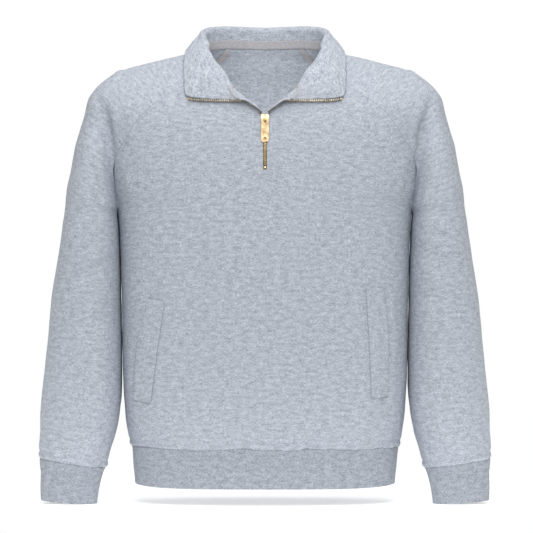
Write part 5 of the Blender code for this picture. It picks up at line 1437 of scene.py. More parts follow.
@dataclass(frozen=True)
class NeckTape:
    """The tape over the neck seam: round the inside of the neck, then across each lapel beside the fold."""

    wide: float = 12.0
    columns: int = 120
    strip_half_turn: float = 1.1
    gap: float = 0.15

    def lift(self) -> float:
        """How far inside the collar's middle the tape's own middle lies."""
        return -0.5 * (DOUBLE_FLEECE + TAPE_CLOTH) - self.gap

    def patches(self) -> list[Patch]:
        """The band round the back of the neck and the strip on each lapel."""
        turns = np.linspace(48.0, 180.0, self.columns)
        seam = smooth_rows(NECK_SEAM, turns)[:, 0]
        rim = smooth_rows(RIM, turns)[:, 0]
        reach = np.clip((rim - seam) / 24.0, 0.3, 1.0)
        shares = np.linspace(0.0, 1.0, 7)
        grid = np.array([FORM.on_neck(turns, seam + share * self.wide * reach) for share in shares])
        grid[:, -1, 0] = 0.0
        normals = FORM.outward(grid, FORM.body)
        normals[:, -1, 0] = 0.0
        band = Patch(grid, unit(normals))
        share = np.linspace(0.2, 0.985, 40)[None, :]
        turn = seam_turn(share) + np.linspace(-self.strip_half_turn, self.strip_half_turn, 7)[:, None]
        share = np.broadcast_to(share, turn.shape)
        strip = Patch(NECK.at(turn, share), neck_normals(turn, share))
        return [band, band.mirrored(), strip, strip.mirrored()]


# ------------------------------------------------------------------ ribs

@dataclass(frozen=True)
class Ribs:
    """The knitted hem band and cuffs, with their ribs standing on the outer face."""

    pitch: float = 2.6
    samples: int = 4
    depth: float = 0.32
    rows: int = 18
    corner_rise: float = 4.0
    side_x: float = 204.0

    def relief(self, points: Array) -> Array:
        """Ribs by run round the band: half the depth times one plus the cosine of each pitch."""
        run = run_lengths(np.vstack([points[0], points[0][:1]]))
        count = max(round(run[-1] / self.pitch), 1)
        wave = 0.5 * self.depth * (1.0 + np.cos(2.0 * math.pi * count * run[:-1] / run[-1]))
        fade = np.clip(np.arange(len(points)) / 1.5, 0.0, 1.0)[:, None]
        return wave[None, :] * fade

    def hem(self) -> list[Patch]:
        """The hem band, a closed tube under the front and back."""
        guide_turn = np.linspace(0.0, 360.0, 721)
        guide = FORM.on_neck(guide_turn, HEM_SEAM)
        run = run_lengths(guide)
        count = round(run[-1] / self.pitch) * self.samples
        turns = np.interp(np.linspace(0.0, run[-1], count + 1), run, guide_turn)
        levels = np.linspace(HEM_SEAM, HEM_BOTTOM + 0.5 * RIB_CLOTH, self.rows)
        grid = np.array([FORM.on_neck(turns, level) for level in levels])
        grid = pushed_in(grid, "t", 0.5 * RIB_CLOTH)
        normals = FORM.outward(grid, FORM.body)
        grid[:, -1] = grid[:, 0]
        normals[:, -1] = normals[:, 0]
        relief = self.relief(grid)
        relief[:, -1] = relief[:, 0]
        grid = grid + normals * self.pulled(grid)[..., None]
        fall = (HEM_SEAM - grid[..., 2]) / (HEM_SEAM - HEM_BOTTOM)
        towards_side = np.clip(np.abs(grid[..., 0]) / self.side_x, 0.0, 1.0)
        grid[..., 2] += self.corner_rise * towards_side ** 7 * np.clip(fall, 0.0, 1.0) ** 2
        grid[:, -1] = grid[:, 0]
        return [Patch(seam_wave(grid), normals, relief)]

    @staticmethod
    def pulled(points: Array) -> Array:
        """Soft hollows just below the hem seam, 0.9 mm deep and fading down over about 14 mm."""
        x, y, z = np.moveaxis(points, -1, 0)
        below = np.clip(HEM_SEAM - z, 0.0, 100.0)
        run = x + 0.9 * y
        wave = 0.9 * np.sin(run / 14.0 + 1.7 * np.sin(run / 39.0))
        return wave * np.exp(-below / 14.0) * np.clip(below / 3.0, 0.0, 1.0)

    def cuff(self, side: float) -> list[Patch]:
        """One cuff, a closed tube below its sleeve."""
        length = run_lengths(arm_loop(CUFF_SEAM, CUFF_SEAM_SLOPE))[-1]
        count = round(length / self.pitch) * self.samples
        share = np.linspace(0.0, 1.0, count + 1)
        grid = []
        for step in np.linspace(0.0, 1.0 - 0.5 * RIB_CLOTH / (CUFF_SEAM - CUFF_BOTTOM), self.rows):
            level = CUFF_SEAM + (CUFF_BOTTOM - CUFF_SEAM) * step
            slope = CUFF_SEAM_SLOPE + (CUFF_EDGE_SLOPE - CUFF_SEAM_SLOPE) * step
            grid.append(resample(arm_loop(level, slope, 361), share))
        grid = pushed_in(np.array(grid), "t", 0.5 * RIB_CLOTH)
        grid[:, -1] = grid[:, 0]
        normals = FORM.outward(grid, FORM.arm)
        relief = self.relief(grid)
        relief[:, -1] = relief[:, 0]
        flip = on_side(side)
        return [Patch(grid * flip, normals * flip, relief)]


# ------------------------------------------------------------------ pockets and inside tapes

def on_front(across: Array, height: Array) -> Patch:
    """The front panel at places in the front view, with its folds and puckers."""
    points = FORM.seen_from(-1.0, across.ravel(), height.ravel()).reshape(*across.shape, 3)
    normals = FORM.outward(points)
    return dressed(points, normals, normals)


@dataclass(frozen=True)
class Pockets:
    """Each pocket's welt on the front and its bag behind it."""

    bag_inner: float = 74.0
    bag_outer: float = 176.0
    bag_top: float = -384.0
    bag_bottom: float = -566.0
    welt_gap: float = 0.15
    mouth_rise: float = 1.1

    def welt_edges(self, table: Array, count: int) -> Array:
        """A welt's edges as smooth rows of inner x, inner z, outer x, outer z."""
        key = np.linspace(0.0, len(table) - 1.0, count)
        return smooth_rows(np.column_stack([np.arange(len(table)), table]), key)

    def welt(self, table: Array) -> list[Patch]:
        """A welt, laid on the front."""
        edges = self.welt_edges(table, 46)
        mix = np.linspace(0.0, 1.0, 8)[None, :, None]
        places = edges[:, None, 0:2] * (1.0 - mix) + edges[:, None, 2:4] * mix
        laid = on_front(places[..., 0], places[..., 1])
        along = np.sin(np.pi * np.linspace(0.0, 1.0, len(edges)))[:, None] ** 0.5
        laid.relief = self.mouth_rise * mix[..., 0] ** 2 * along
        return [laid]

    def welt_lift(self) -> float:
        """How far the welt's middle stands off the front's."""
        return 0.5 * (FLEECE + WELT_THICK) + self.welt_gap

    def bag(self, side: float) -> list[Patch]:
        """A bag, its two layers lying together behind the front, its lower inner corner rounded."""
        across, height = np.meshgrid(
            np.linspace(self.bag_inner, self.bag_outer, 26), np.linspace(self.bag_top, self.bag_bottom, 42)
        )
        round_off = np.clip((height - self.bag_bottom) / 40.0, 0.0, 1.0)
        away = (self.bag_outer - across) / (self.bag_outer - self.bag_inner)
        across = across + (1.0 - np.sqrt(1.0 - (1.0 - round_off) ** 2)) * 18.0 * away
        return [on_front(across * side, height)]

    def bag_lift(self) -> float:
        """How far behind the front's middle the bag's own middle lies."""
        return -0.5 * (FLEECE + BAG_THICK) - POCKET_GAP


@dataclass(frozen=True)
class RaglanTape:
    """A strip over the inside of a back raglan seam, where the neck shows it."""

    wide: float = 10.0
    last_band: int = 6
    gap: float = 0.3

    def patches(self, side: float) -> list[Patch]:
        """The strip, cast onto the form either side of the seam."""
        stop = self.last_band * SEAMS.raglan_steps + 1
        seam = resample(SEAMS.back[:stop], np.linspace(0.025, 1.0, 44))
        out = FORM.outward(seam)
        seam = FORM.reach(seam - out * 12.0, out, far=24.0)
        out = FORM.outward(seam)
        across = unit(np.cross(out, np.gradient(seam, axis=0)))
        grid = []
        for share in np.linspace(-0.5, 0.5, 5):
            place = seam + across * share * self.wide
            grid.append(FORM.reach(place - out * 12.0, out, far=24.0))
        flip = on_side(side)
        grid = np.array(grid) * flip
        normals = FORM.outward(grid)
        return [Patch(DRAPE.laid(grid, normals), normals)]

    def lift(self) -> float:
        """How far inside the cloth's middle the tape's own middle lies."""
        return -0.5 * (FLEECE + TAPE_CLOTH) - self.gap


# ------------------------------------------------------------------ repeated small parts

@dataclass(frozen=True)
class Mould:
    """A small closed shape in its own axes, to be set down many times."""

    points: Array
    faces: list[list[int]]

    @staticmethod
    def stitch(long: float = 2.3, thick: float = 0.55) -> "Mould":
        """A capsule of 14 points lying along its first axis: two poles and three rings of four."""
        turn = np.arange(4) * math.pi / 2.0
        rings = []
        for place, size in ((-0.32, 0.8), (0.0, 1.0), (0.32, 0.8)):
            half = 0.5 * thick * size
            ring = [np.full(4, place * long), half * np.cos(turn), half * np.sin(turn)]
            rings.append(np.stack(ring, axis=1))
        points = np.vstack([[[-0.5 * long, 0.0, 0.0]], *rings, [[0.5 * long, 0.0, 0.0]]])
        faces: list[list[int]] = []
        for i in range(4):
            j = (i + 1) % 4
            faces.append([0, 1 + j, 1 + i])
            faces.append([1 + i, 1 + j, 5 + j, 5 + i])
            faces.append([5 + i, 5 + j, 9 + j, 9 + i])
            faces.append([9 + i, 9 + j, 13])
        return Mould(points, faces)

    @staticmethod
    def block(size: tuple[float, float, float], chamfer: float) -> "Mould":
        """A box with its edges cut off: 24 points."""
        mesh = bmesh.new()
        bmesh.ops.create_cube(mesh, size=1.0)
        bmesh.ops.scale(mesh, vec=size, verts=mesh.verts)
        bmesh.ops.bevel(mesh, geom=list(mesh.edges), offset=chamfer, segments=1, affect="EDGES")
        mesh.verts.index_update()
        points = np.array([vertex.co[:] for vertex in mesh.verts])
        faces = [[vertex.index for vertex in face.verts] for face in mesh.faces]
        mesh.free()
        return Mould(points, faces)

    def set_down(self, origins: Array, axes: Array) -> tuple[Array, list[list[int]]]:
        """Copies at origins, turned to axes, as one list of points and one of faces.

        Args:
            origins: a place for each copy.
            axes: three directions for each copy, a row each.

        Returns:
            All the points and all the faces.
        """
        copies = len(origins)
        points = origins[:, None, :] + np.einsum("pk,ckd->cpd", self.points, axes)
        count = len(self.points)
        faces = [[vertex + copy * count for vertex in face] for copy in range(copies) for face in self.faces]
        return points.reshape(-1, 3), faces


def joined_meshes(parts: Iterable[tuple[Array, list[list[int]]]]) -> tuple[Array, list[list[int]]]:
    """Several lists of points and faces as one."""
    points: list[Array] = []
    faces: list[list[int]] = []
    offset = 0
    for part, part_faces in parts:
        points.append(part)
        faces += [[vertex + offset for vertex in face] for face in part_faces]
        offset += len(part)
    return np.vstack(points), faces


def ring_faces(rings: int, count: int) -> list[list[int]]:
    """Quads between successive rings of points, and one face over each end."""
    i = np.arange(count)
    j = (i + 1) % count
    start = (np.arange(rings - 1) * count)[:, None]
    quads = np.stack([start + i, start + j, start + count + j, start + count + i], axis=-1)
    return quads.reshape(-1, 4).tolist() + [i[::-1].tolist(), (i + (rings - 1) * count).tolist()]


def swept(outlines: Array, origins: Array, first: Array, second: Array) -> tuple[Array, list[list[int]]]:
    """A bar whose outline is carried along frames, closed at both ends.

    Args:
        outlines: an outline's (a, b) places, counter-clockwise seen against the way it is carried.
        origins: a place for each ring.
        first: the direction of a at each ring.
        second: the direction of b at each ring.

    Returns:
        The bar's points and faces.
    """
    across, up = outlines[None, :, :1] * first[:, None, :], outlines[None, :, 1:] * second[:, None, :]
    rings = origins[:, None, :] + across + up
    return rings.reshape(-1, 3), ring_faces(len(rings), len(outlines))


def squared(points: Array, faces: list[list[int]]) -> list[list[int]]:
    """Faces turned to face outward, by the sign of the volume they close."""
    total = sum(
        float(points[face[0]] @ np.cross(points[b], points[c]))
        for face in faces for b, c in zip(face[1:-1], face[2:])
    )
    return [face[::-1] for face in faces] if total < 0 else faces


@dataclass(frozen=True)
class Stitching:
    """Runs of stitches laid on cloth."""

    pitch: float = 3.1
    rise: float = 0.12

    def beside(self, patch: Patch, edge: str, distance: float, lift: float,
               keep: slice = slice(None)) -> tuple[Array, Array]:
        """A line at a distance from a patch's edge, with the outward direction of the stitches.

        Args:
            patch: the cloth.
            edge: l first column, r last column, t top row or b bottom row.
            distance: how far from the edge.
            lift: how far off the middle surface, below zero for the inner face.
            keep: the part of the edge to follow.

        Returns:
            The line's points and directions.
        """
        grid, ways = patch.points, patch.normals
        relief = patch.raised()
        if edge in "tb":
            grid, ways, relief = grid.transpose(1, 0, 2), ways.transpose(1, 0, 2), relief.T
        if edge in "rb":
            grid, ways, relief = grid[:, ::-1], ways[:, ::-1], relief[:, ::-1]
        grid, ways, relief = grid[keep], ways[keep], relief[keep]
        near = min(12, grid.shape[1])
        steps = np.linalg.norm(np.diff(grid[:, :near], axis=1), axis=2)
        run = np.pad(np.cumsum(steps, axis=1), ((0, 0), (1, 0)))
        place = np.array([np.interp(distance, row, np.arange(near)) for row in run])
        low = np.minimum(place.astype(int), near - 2)
        mix = (place - low)[:, None]
        row = np.arange(len(grid))
        points = grid[row, low] * (1 - mix) + grid[row, low + 1] * mix
        normals = unit(ways[row, low] * (1 - mix) + ways[row, low + 1] * mix)
        raised = relief[row, low] * (1 - mix[:, 0]) + relief[row, low + 1] * mix[:, 0]
        side = 1.0 if lift >= 0 else -1.0
        offset = lift + side * self.rise + (raised if side > 0 else 0.0)
        return points + normals * np.broadcast_to(offset, (len(points),))[:, None], normals * side

    def sewn(self, name: str, lines: Sequence[tuple[Array, Array]], finish: Finishes) -> bpy.types.Object:
        """Stitches along several lines, in one object."""
        mould = Mould.stitch()
        parts = []
        for points, normals in lines:
            length = run_lengths(points)[-1]
            share = (np.arange(max(int(length / self.pitch), 1)) + 0.5) * self.pitch / max(length, self.pitch)
            place = resample(points, np.clip(share, 0.0, 1.0))
            ahead = resample(points, np.clip(share + 0.4 / length, 0.0, 1.0))
            behind = resample(points, np.clip(share - 0.4 / length, 0.0, 1.0))
            run = run_lengths(points)
            want = share * length
            up = unit(np.stack([np.interp(want, run, normals[:, axis]) for axis in range(3)], axis=1))
            along = unit(ahead - behind)
            aside = unit(np.cross(up, along))
            parts.append(mould.set_down(place, np.stack([along, aside, up], axis=1)))
        points, faces = joined_meshes(parts)
        corner = np.concatenate([np.asarray(face) for face in faces])
        return mesh_object(name, points, faces, finish.made(), points[corner][:, [0, 2]] * MM)


STITCHING = Stitching()


# ------------------------------------------------------------------ zip

@dataclass(frozen=True)
class Zip:
    """The metal zip: two open rows of teeth, the closed chain, the slider, its pull and the stops."""

    pitch: float = 2.9
    tooth: tuple[float, float, float] = (1.7, 3.2, 2.5)
    teeth_clear: float = 0.6
    last_turn: float = 44.5
    chain_top: float = -110.2
    chain_bottom: float = -174.4
    tape_half: float = 13.0
    tape_thick: float = 0.8
    slider_top: float = -94.5
    slider_bottom: float = -109.5
    plate_clear: float = 1.5
    plate_thick: float = 1.6
    front_half: float = 6.2
    back_half: float = 5.2
    core_half: float = 3.2
    bridge_top: float = -95.6
    bridge_bottom: float = -107.4
    bridge_half: float = 1.3
    bridge_high: float = 4.6
    bridge_bar: float = 1.4
    axis_height: float = -103.7
    axis_rise: float = 1.6
    pull_above: float = 1.0
    pull_long: float = 36.0
    pull_half: float = 6.0
    pull_thick: float = 1.5
    pull_lean: float = 6.0
    slot_half: float = 2.1
    slot_end: float = 5.8
    hole_radius: float = 2.2
    hole_at: float = 29.8
    stop_height: float = -177.7
    stop_halves: tuple[float, float, float] = (3.5, 2.8, 1.6)

    def edge_frames(self, side: float) -> tuple[Array, Array, Array, Array]:
        """The opened zip's edge: places on the leaf's edge, the ways along, off the edge and off its face."""
        turns = np.concatenate([np.linspace(2.0, 21.5, 70), np.linspace(21.5, self.last_turn, 90)[1:]])
        edge = NECK.at(turns, np.ones_like(turns))
        inner = NECK.at(turns, np.full_like(turns, 0.8))
        count = max(round(run_lengths(edge)[-1] / self.pitch), 2)
        share = (np.arange(count) + 0.5) / count
        edge, inner = resample(edge, share), resample(inner, share)
        along = unit(np.gradient(edge, axis=0))
        away = edge - inner
        away = unit(away - np.sum(away * along, axis=1, keepdims=True) * along)
        up = unit(np.cross(along, away))
        flip = on_side(side)
        formal = unit(FORM.outward(edge)) * flip
        place = DRAPE.laid(edge * flip, formal)
        return place, along * flip, away * flip, up * flip

    def open_row(self, name: str, side: float) -> bpy.types.Object:
        """Teeth along one turned-out edge."""
        edge, along, away, up = self.edge_frames(side)
        centre = edge + away * (self.teeth_clear + 0.5 * self.tooth[1])
        mould = Mould.block(self.tooth, 0.35)
        head = Mould.block((self.tooth[0] * 0.75, 1.4, self.tooth[2] * 0.7), 0.3)
        axes = np.stack([along, away, up], axis=1)
        points, faces = joined_meshes([
            mould.set_down(centre, axes), head.set_down(centre + away * 0.5 * self.tooth[1], axes),
        ])
        return mesh_object(name, points, faces, Finishes.TEETH.made(), None, 30.0)

    def open_tape(self, name: str, side: float) -> bpy.types.Object:
        """The woven bead that the teeth grip, between them and the cloth's edge."""
        edge, _, away, up = self.edge_frames(side)
        turn = np.linspace(0.0, 2.0 * math.pi, 9)[:-1]
        outline = np.stack([1.5 * np.cos(turn), 0.9 * np.sin(turn)], axis=1)
        points, faces = swept(outline, edge + away * 0.4, away, up)
        return self.cloth_bar(name, points, faces)

    @staticmethod
    def cloth_bar(name: str, points: Array, faces: list[list[int]]) -> bpy.types.Object:
        """A woven piece from a bar, its cloth coordinates being its places in the front view."""
        faces = squared(points, faces)
        corner = np.concatenate([np.asarray(face) for face in faces])
        return mesh_object(name, points, faces, Finishes.ZIP_TAPE.made(), points[corner][:, [0, 2]] * MM)

    @staticmethod
    def chest(heights: Array) -> tuple[Array, Array]:
        """The centre front at heights, and the way out of the chest."""
        points = FORM.on_neck(np.zeros(len(heights)), np.asarray(heights, float))
        points[:, 0] = 0.0
        ways = FORM.outward(points, FORM.body)
        ways[:, 0] = 0.0
        return points, unit(ways)

    def chain(self, name: str) -> bpy.types.Object:
        """The closed chain: teeth from either side in turn, each reaching a little past the middle."""
        heights = np.arange(self.chain_top - 0.5, self.chain_bottom, -0.5 * self.pitch)
        points, out = self.chest(heights)
        points = DRAPE.laid(points, out)
        across = np.tile(ACROSS, (len(points), 1))
        down = unit(np.cross(out, across))
        sign = np.where(np.arange(len(points)) % 2 == 0, 1.0, -1.0)
        centre = points + across * (sign * 0.75)[:, None]
        mould = Mould.block((4.7, 1.2, 2.3), 0.3)
        parts = mould.set_down(centre, np.stack([across, down, out], axis=1))
        return mesh_object(name, parts[0], parts[1], Finishes.BRASS.made(), None, 30.0)

    def chain_tape(self, name: str) -> bpy.types.Object:
        """The tape behind the slit that carries the chain."""
        heights = np.linspace(self.chain_top, self.chain_bottom, 24)
        points, out = self.chest(heights)
        points = DRAPE.laid(points, out)
        back = -0.5 * FLEECE - 0.3
        half = self.tape_half
        front = back - self.tape_thick
        outline = np.array([(-half, front), (half, front), (half, back), (-half, back)])
        across = np.tile(ACROSS, (len(points), 1))
        bar, faces = swept(outline, points, across, out)
        return self.cloth_bar(name, bar, faces)

    def plate_face(self) -> tuple[Array, Array, Array]:
        """The slider's front face: a point at its top, and its down and out directions."""
        points, out = self.chest(np.array([self.slider_top, self.slider_bottom]))
        rise = self.plate_clear + self.plate_thick
        high, low = points + out * rise
        down = unit(low - high)
        normal = unit(np.cross(down, -ACROSS))
        return high, down, normal if normal[1] < 0 else -normal

    @staticmethod
    def slab(outline: Sequence[tuple[float, float]], holes: Sequence[Sequence[tuple[float, float]]],
             start: Array, axes: tuple[Array, Array, Array], half: float) -> tuple[Array, list[list[int]]]:
        """A plate from an outline with holes, carried half its thickness each way along its third axis."""
        first, second, third = axes
        mesh = bmesh.new()
        rings = [outline, *holes]
        levels = []
        for level in (-half, half):
            chosen = []
            for ring in rings:
                corners = [mesh.verts.new(start + a * first + b * second + level * third) for a, b in ring]
                following = corners[1:] + corners[:1]
                chosen += [mesh.edges.new(pair) for pair in zip(corners, following)]
            levels.append(chosen)
        mesh.verts.ensure_lookup_table()
        count = sum(len(ring) for ring in rings)
        offset = 0
        for ring in rings:
            for i in range(len(ring)):
                j = (i + 1) % len(ring)
                mesh.faces.new([mesh.verts[offset + k] for k in (i, j, count + j, count + i)])
            offset += len(ring)
        for chosen in levels:
            bmesh.ops.triangle_fill(mesh, use_beauty=True, use_dissolve=False, edges=chosen)
        bmesh.ops.recalc_face_normals(mesh, faces=mesh.faces)
        bmesh.ops.dissolve_limit(mesh, angle_limit=0.01, verts=list(mesh.verts), edges=list(mesh.edges))
        mesh.verts.index_update()
        points = np.array([vertex.co[:] for vertex in mesh.verts])
        faces = [[vertex.index for vertex in face.verts] for face in mesh.faces]
        mesh.free()
        return points, faces

    @staticmethod
    def bevelled(made: bpy.types.Object, width: float) -> bpy.types.Object:
        """The object with its sharp edges rounded, and no modifier left on it."""
        rounding = made.modifiers.new("round", "BEVEL")
        rounding.width = width * MM
        rounding.segments = 2
        rounding.limit_method = "ANGLE"
        rounding.angle_limit = math.radians(35.0)
        graph = bpy.context.evaluated_depsgraph_get()
        finished = bpy.data.meshes.new_from_object(made.evaluated_get(graph))
        made.modifiers.clear()
        made.data = finished
        return made

    @staticmethod
    def shouldered(half: float, waist: float, long: float) -> list[tuple[float, float]]:
        """A slider plate's outline: two rounded shoulders at the top drawn in to a narrower foot."""
        turn = np.linspace(0.0, math.pi, 9)
        left = [(-0.5 * half + 0.5 * half * math.cos(math.pi - t), 2.6 - 2.6 * math.sin(t)) for t in turn]
        right = [(0.5 * half + 0.5 * half * math.cos(math.pi - t), 2.6 - 2.6 * math.sin(t)) for t in turn]
        foot = [(half, 0.45 * long), (waist, 0.8 * long), (waist, long - 0.8), (waist - 0.8, long),
                (0.8 - waist, long), (-waist, long - 0.8), (-waist, 0.8 * long), (-half, 0.45 * long)]
        return left + right[1:] + foot

    def slider(self, name: str) -> bpy.types.Object:
        """Two plates, the core between them and the bridge over the front one."""
        high, down, out = self.plate_face()
        across = ACROSS
        long = (self.slider_top - self.slider_bottom) / -down[2]
        thick = self.plate_thick
        front = self.slab(self.shouldered(self.front_half, 4.6, long), [], high - out * 0.5 * thick,
                          (across, down, out), 0.5 * thick)
        behind = -(thick + 2.0 * self.plate_clear) - 0.5 * thick
        back = self.slab(self.shouldered(self.back_half, 4.2, long), [], high + out * behind,
                         (across, down, out), 0.5 * thick)
        core = Mould.block((2.0 * self.core_half, 0.65 * long, 2.0 * self.plate_clear + 0.4), 0.3).set_down(
            (high + down * 0.52 * long - out * (thick + self.plate_clear))[None], np.array([[across, down, out]])
        )
        slope = -down[2]
        start = (self.slider_top - self.bridge_top) / slope
        end = (self.slider_top - self.bridge_bottom) / slope
        bar, tall, sunk = self.bridge_bar, self.bridge_high, -0.5 * thick
        outline = [
            (start, sunk), (start, tall - 1.2), (start + 0.4, tall - 0.4), (start + 1.2, tall),
            (end - 1.2, tall), (end - 0.4, tall - 0.4), (end, tall - 1.2), (end, sunk),
            (end - bar, sunk), (end - bar, tall - bar), (start + bar, tall - bar), (start + bar, sunk),
        ]
        bridge = self.slab(outline, [], high, (down, out, across), self.bridge_half)
        points, faces = joined_meshes([front, back, core, bridge])
        return self.bevelled(mesh_object(name, points, faces, Finishes.BRASS.made(), None, 30.0), 0.25)

    def pull(self, name: str) -> bpy.types.Object:
        """The pull: a plate with a slot round the bridge and a round hole near its end."""
        high, down, out = self.plate_face()
        axis = high + down * (self.slider_top - self.axis_height) / -down[2] + out * self.axis_rise
        lean = math.radians(self.pull_lean)
        along = np.array([0.0, -math.sin(lean), -math.cos(lean)])
        face = np.array([0.0, -math.cos(lean), math.sin(lean)])
        across = ACROSS
        half, above, corner = self.pull_half, self.pull_above, 1.6
        bottom = self.pull_long - above
        outline = [(-half + 0.8, -above), (half - 0.8, -above), (half, -above + 0.8), (half, bottom - corner),
                   (half - 0.5, bottom - 0.5), (half - corner, bottom), (corner - half, bottom),
                   (0.5 - half, bottom - 0.5), (-half, bottom - corner), (-half, -above + 0.8)]
        slot = [(-self.slot_half, above), (self.slot_half, above), (self.slot_half, self.slot_end),
                (-self.slot_half, self.slot_end)]
        turns = np.linspace(0.0, 2.0 * math.pi, 25)[:-1]
        hole = [(self.hole_radius * math.sin(t), self.hole_at + self.hole_radius * math.cos(t)) for t in turns]
        points, faces = self.slab(outline, [slot, hole], axis, (across, along, face), 0.5 * self.pull_thick)
        return self.bevelled(mesh_object(name, points, faces, Finishes.BRASS.made(), None, 30.0), 0.22)

    def bottom_stop(self, name: str) -> bpy.types.Object:
        """The round bead that ends the chain: rings of an ellipse, 7.0 by 5.6 by 3.2 mm."""
        points, out = self.chest(np.array([self.stop_height]))
        down = unit(np.cross(out[0], ACROSS))
        turn = np.linspace(0.0, 2.0 * math.pi, 21)[:-1]
        rise = np.linspace(-0.48 * math.pi, 0.48 * math.pi, 9)
        centre = points[0] + out[0] * 0.6
        wide, long, deep = self.stop_halves
        ring = wide * np.cos(turn)[:, None] * ACROSS + long * np.sin(turn)[:, None] * down
        made = np.vstack([centre + math.cos(r) * ring + deep * math.sin(r) * out[0] for r in rise])
        faces = squared(made, ring_faces(len(rise), len(turn)))
        return mesh_object(name, made, faces, Finishes.BRASS.made(), None, 50.0)

    def end_stop(self, name: str, side: float) -> bpy.types.Object:
        """The small bar after the last tooth of an open row."""
        edge, along, away, up = self.edge_frames(side)
        centre = edge[-1] + away[-1] * (self.teeth_clear + 0.5 * self.tooth[1]) + along[-1] * 3.6
        block = Mould.block((3.4, 3.4, 2.9), 0.6)
        part = block.set_down(centre[None], np.array([[along[-1], away[-1], up[-1]]]))
        return mesh_object(name, part[0], part[1], Finishes.BRASS.made(), None, 30.0)


# ------------------------------------------------------------------ the garment

@dataclass
class Garment:
    """Builds, stitches and registers every piece."""

    wardrobe: Wardrobe = field(default_factory=Wardrobe)
    front: list[Patch] = field(default_factory=list)
    back: list[Patch] = field(default_factory=list)
    sleeves: dict[str, list[Patch]] = field(default_factory=dict)
    collar: list[Patch] = field(default_factory=list)
    tapes: dict[str, list[Patch]] = field(default_factory=dict)
    tape_lifts: dict[str, float] = field(default_factory=dict)

    def cloth(self, name: str, patches: Sequence[Patch], thick: float, finish: Finishes, slot: Slot,
              lift: float = 0.0) -> None:
        """One shell of cloth that stands for the node of its own name."""
        self.wardrobe.add(Shell(thick, lift).make(name + CLOTH_SUFFIX, patches, finish.made()), slot, name)
        LOG.info("%s: %.4f square metres", name, patch_area(patches))

    def build_panels(self) -> None:
        """Front, back and sleeves."""
        self.front = FrontPanel().patches()
        self.back = BackPanel().patches()
        self.cloth("front", self.front, FLEECE, Finishes.FLEECE, Slot.FLEECE)
        self.cloth("back", self.back, FLEECE, Finishes.FLEECE, Slot.FLEECE)
        for name, side in (("sleeve_left", 1.0), ("sleeve_right", -1.0)):
            self.sleeves[name] = Sleeve().patches(side)
            self.cloth(name, self.sleeves[name], FLEECE, Finishes.FLEECE, Slot.FLEECE)

    def build_neck(self) -> None:
        """Collar, neck tape and raglan tapes."""
        self.collar = Collar().patches()
        self.cloth("collar", self.collar, DOUBLE_FLEECE, Finishes.FLEECE, Slot.FLEECE)
        tape = NeckTape()
        pieces = tape.patches()
        self.cloth("neck_tape", pieces, TAPE_CLOTH, Finishes.TAPE, Slot.TAPE, tape.lift())
        self.tapes["neck_tape"], self.tape_lifts["neck_tape"] = pieces[:2], tape.lift()
        raglan = RaglanTape()
        for name, side in (("raglan_tape_left", 1.0), ("raglan_tape_right", -1.0)):
            pieces = raglan.patches(side)
            self.cloth(name, pieces, TAPE_CLOTH, Finishes.TAPE, Slot.TAPE, raglan.lift())
            self.tapes[name], self.tape_lifts[name] = pieces, raglan.lift()

    def build_ribs(self) -> None:
        """Hem band and cuffs."""
        ribs = Ribs()
        self.cloth("hem_rib", ribs.hem(), RIB_CLOTH, Finishes.RIB, Slot.RIB)
        self.cloth("cuff_left", ribs.cuff(1.0), RIB_CLOTH, Finishes.RIB, Slot.RIB)
        self.cloth("cuff_right", ribs.cuff(-1.0), RIB_CLOTH, Finishes.RIB, Slot.RIB)

    def build_pockets(self) -> None:
        """Welts and bags."""
        pockets = Pockets()
        for name, table, side in (("left", WELT_LEFT, 1.0), ("right", WELT_RIGHT, -1.0)):
            self.cloth(f"welt_{name}", pockets.welt(table), WELT_THICK, Finishes.FLEECE, Slot.FLEECE,
                       pockets.welt_lift())
            self.cloth(f"pocket_bag_{name}", pockets.bag(side), BAG_THICK, Finishes.FLEECE, Slot.FLEECE,
                       pockets.bag_lift())

    def build_zip(self) -> None:
        """Every part of the zip."""
        metal = Zip()
        add = self.wardrobe.add
        for name, side in (("left", 1.0), ("right", -1.0)):
            add(metal.open_row(f"teeth_{name}", side), Slot.BRASS, f"zip_row_{name}")
            add(metal.open_tape(f"zip_bead_{name}", side), Slot.TAPE)
            add(metal.end_stop(f"end_stop_{name}", side), Slot.BRASS, f"zip_stop_{name}")
        add(metal.chain("teeth_closed"), Slot.BRASS, "zip_chain")
        add(metal.chain_tape("zip_tape"), Slot.TAPE, "zip_chain")
        add(metal.slider("slider"), Slot.BRASS, "zip_slider")
        add(metal.bottom_stop("bottom_stop"), Slot.BRASS, "zip_stop_bottom")
        add(metal.pull("pull"), Slot.BRASS, "pull_tab", PULL_BODY)

    def sew(self) -> None:
        """Stitch lines beside the seams, above the ribs, along the collar's edge and beside the welts."""
        top = 0.5 * FLEECE
        raglan = slice(1, SEAMS.count - SEAMS.pit_rows - 4)
        for name, halves in (("front", self.front), ("back", self.back)):
            lines = []
            for half in halves:
                lines.append(STITCHING.beside(half, "r", 5.0, top, raglan))
                lines.append(STITCHING.beside(half, "b", 7.5, top))
            if name == "front":
                lines += self.welt_lines()
            self.add_stitches(f"{name}_stitches", lines, Slot.FLEECE)
        for name, patches in self.sleeves.items():
            self.add_stitches(f"{name}_stitches", [STITCHING.beside(patches[0], "b", 7.5, top)], Slot.FLEECE)
        lines = [STITCHING.beside(half, "b", 6.0, -0.5 * DOUBLE_FLEECE) for half in self.collar]
        self.add_stitches("collar_stitches", lines, Slot.FLEECE)
        for name, patches in self.tapes.items():
            inner = self.tape_lifts[name] - 0.5 * TAPE_CLOTH
            lines = [STITCHING.beside(patch, edge, 1.7, inner) for patch in patches for edge in "tb"]
            self.add_stitches(f"{name}_stitches", lines, Slot.TAPE)

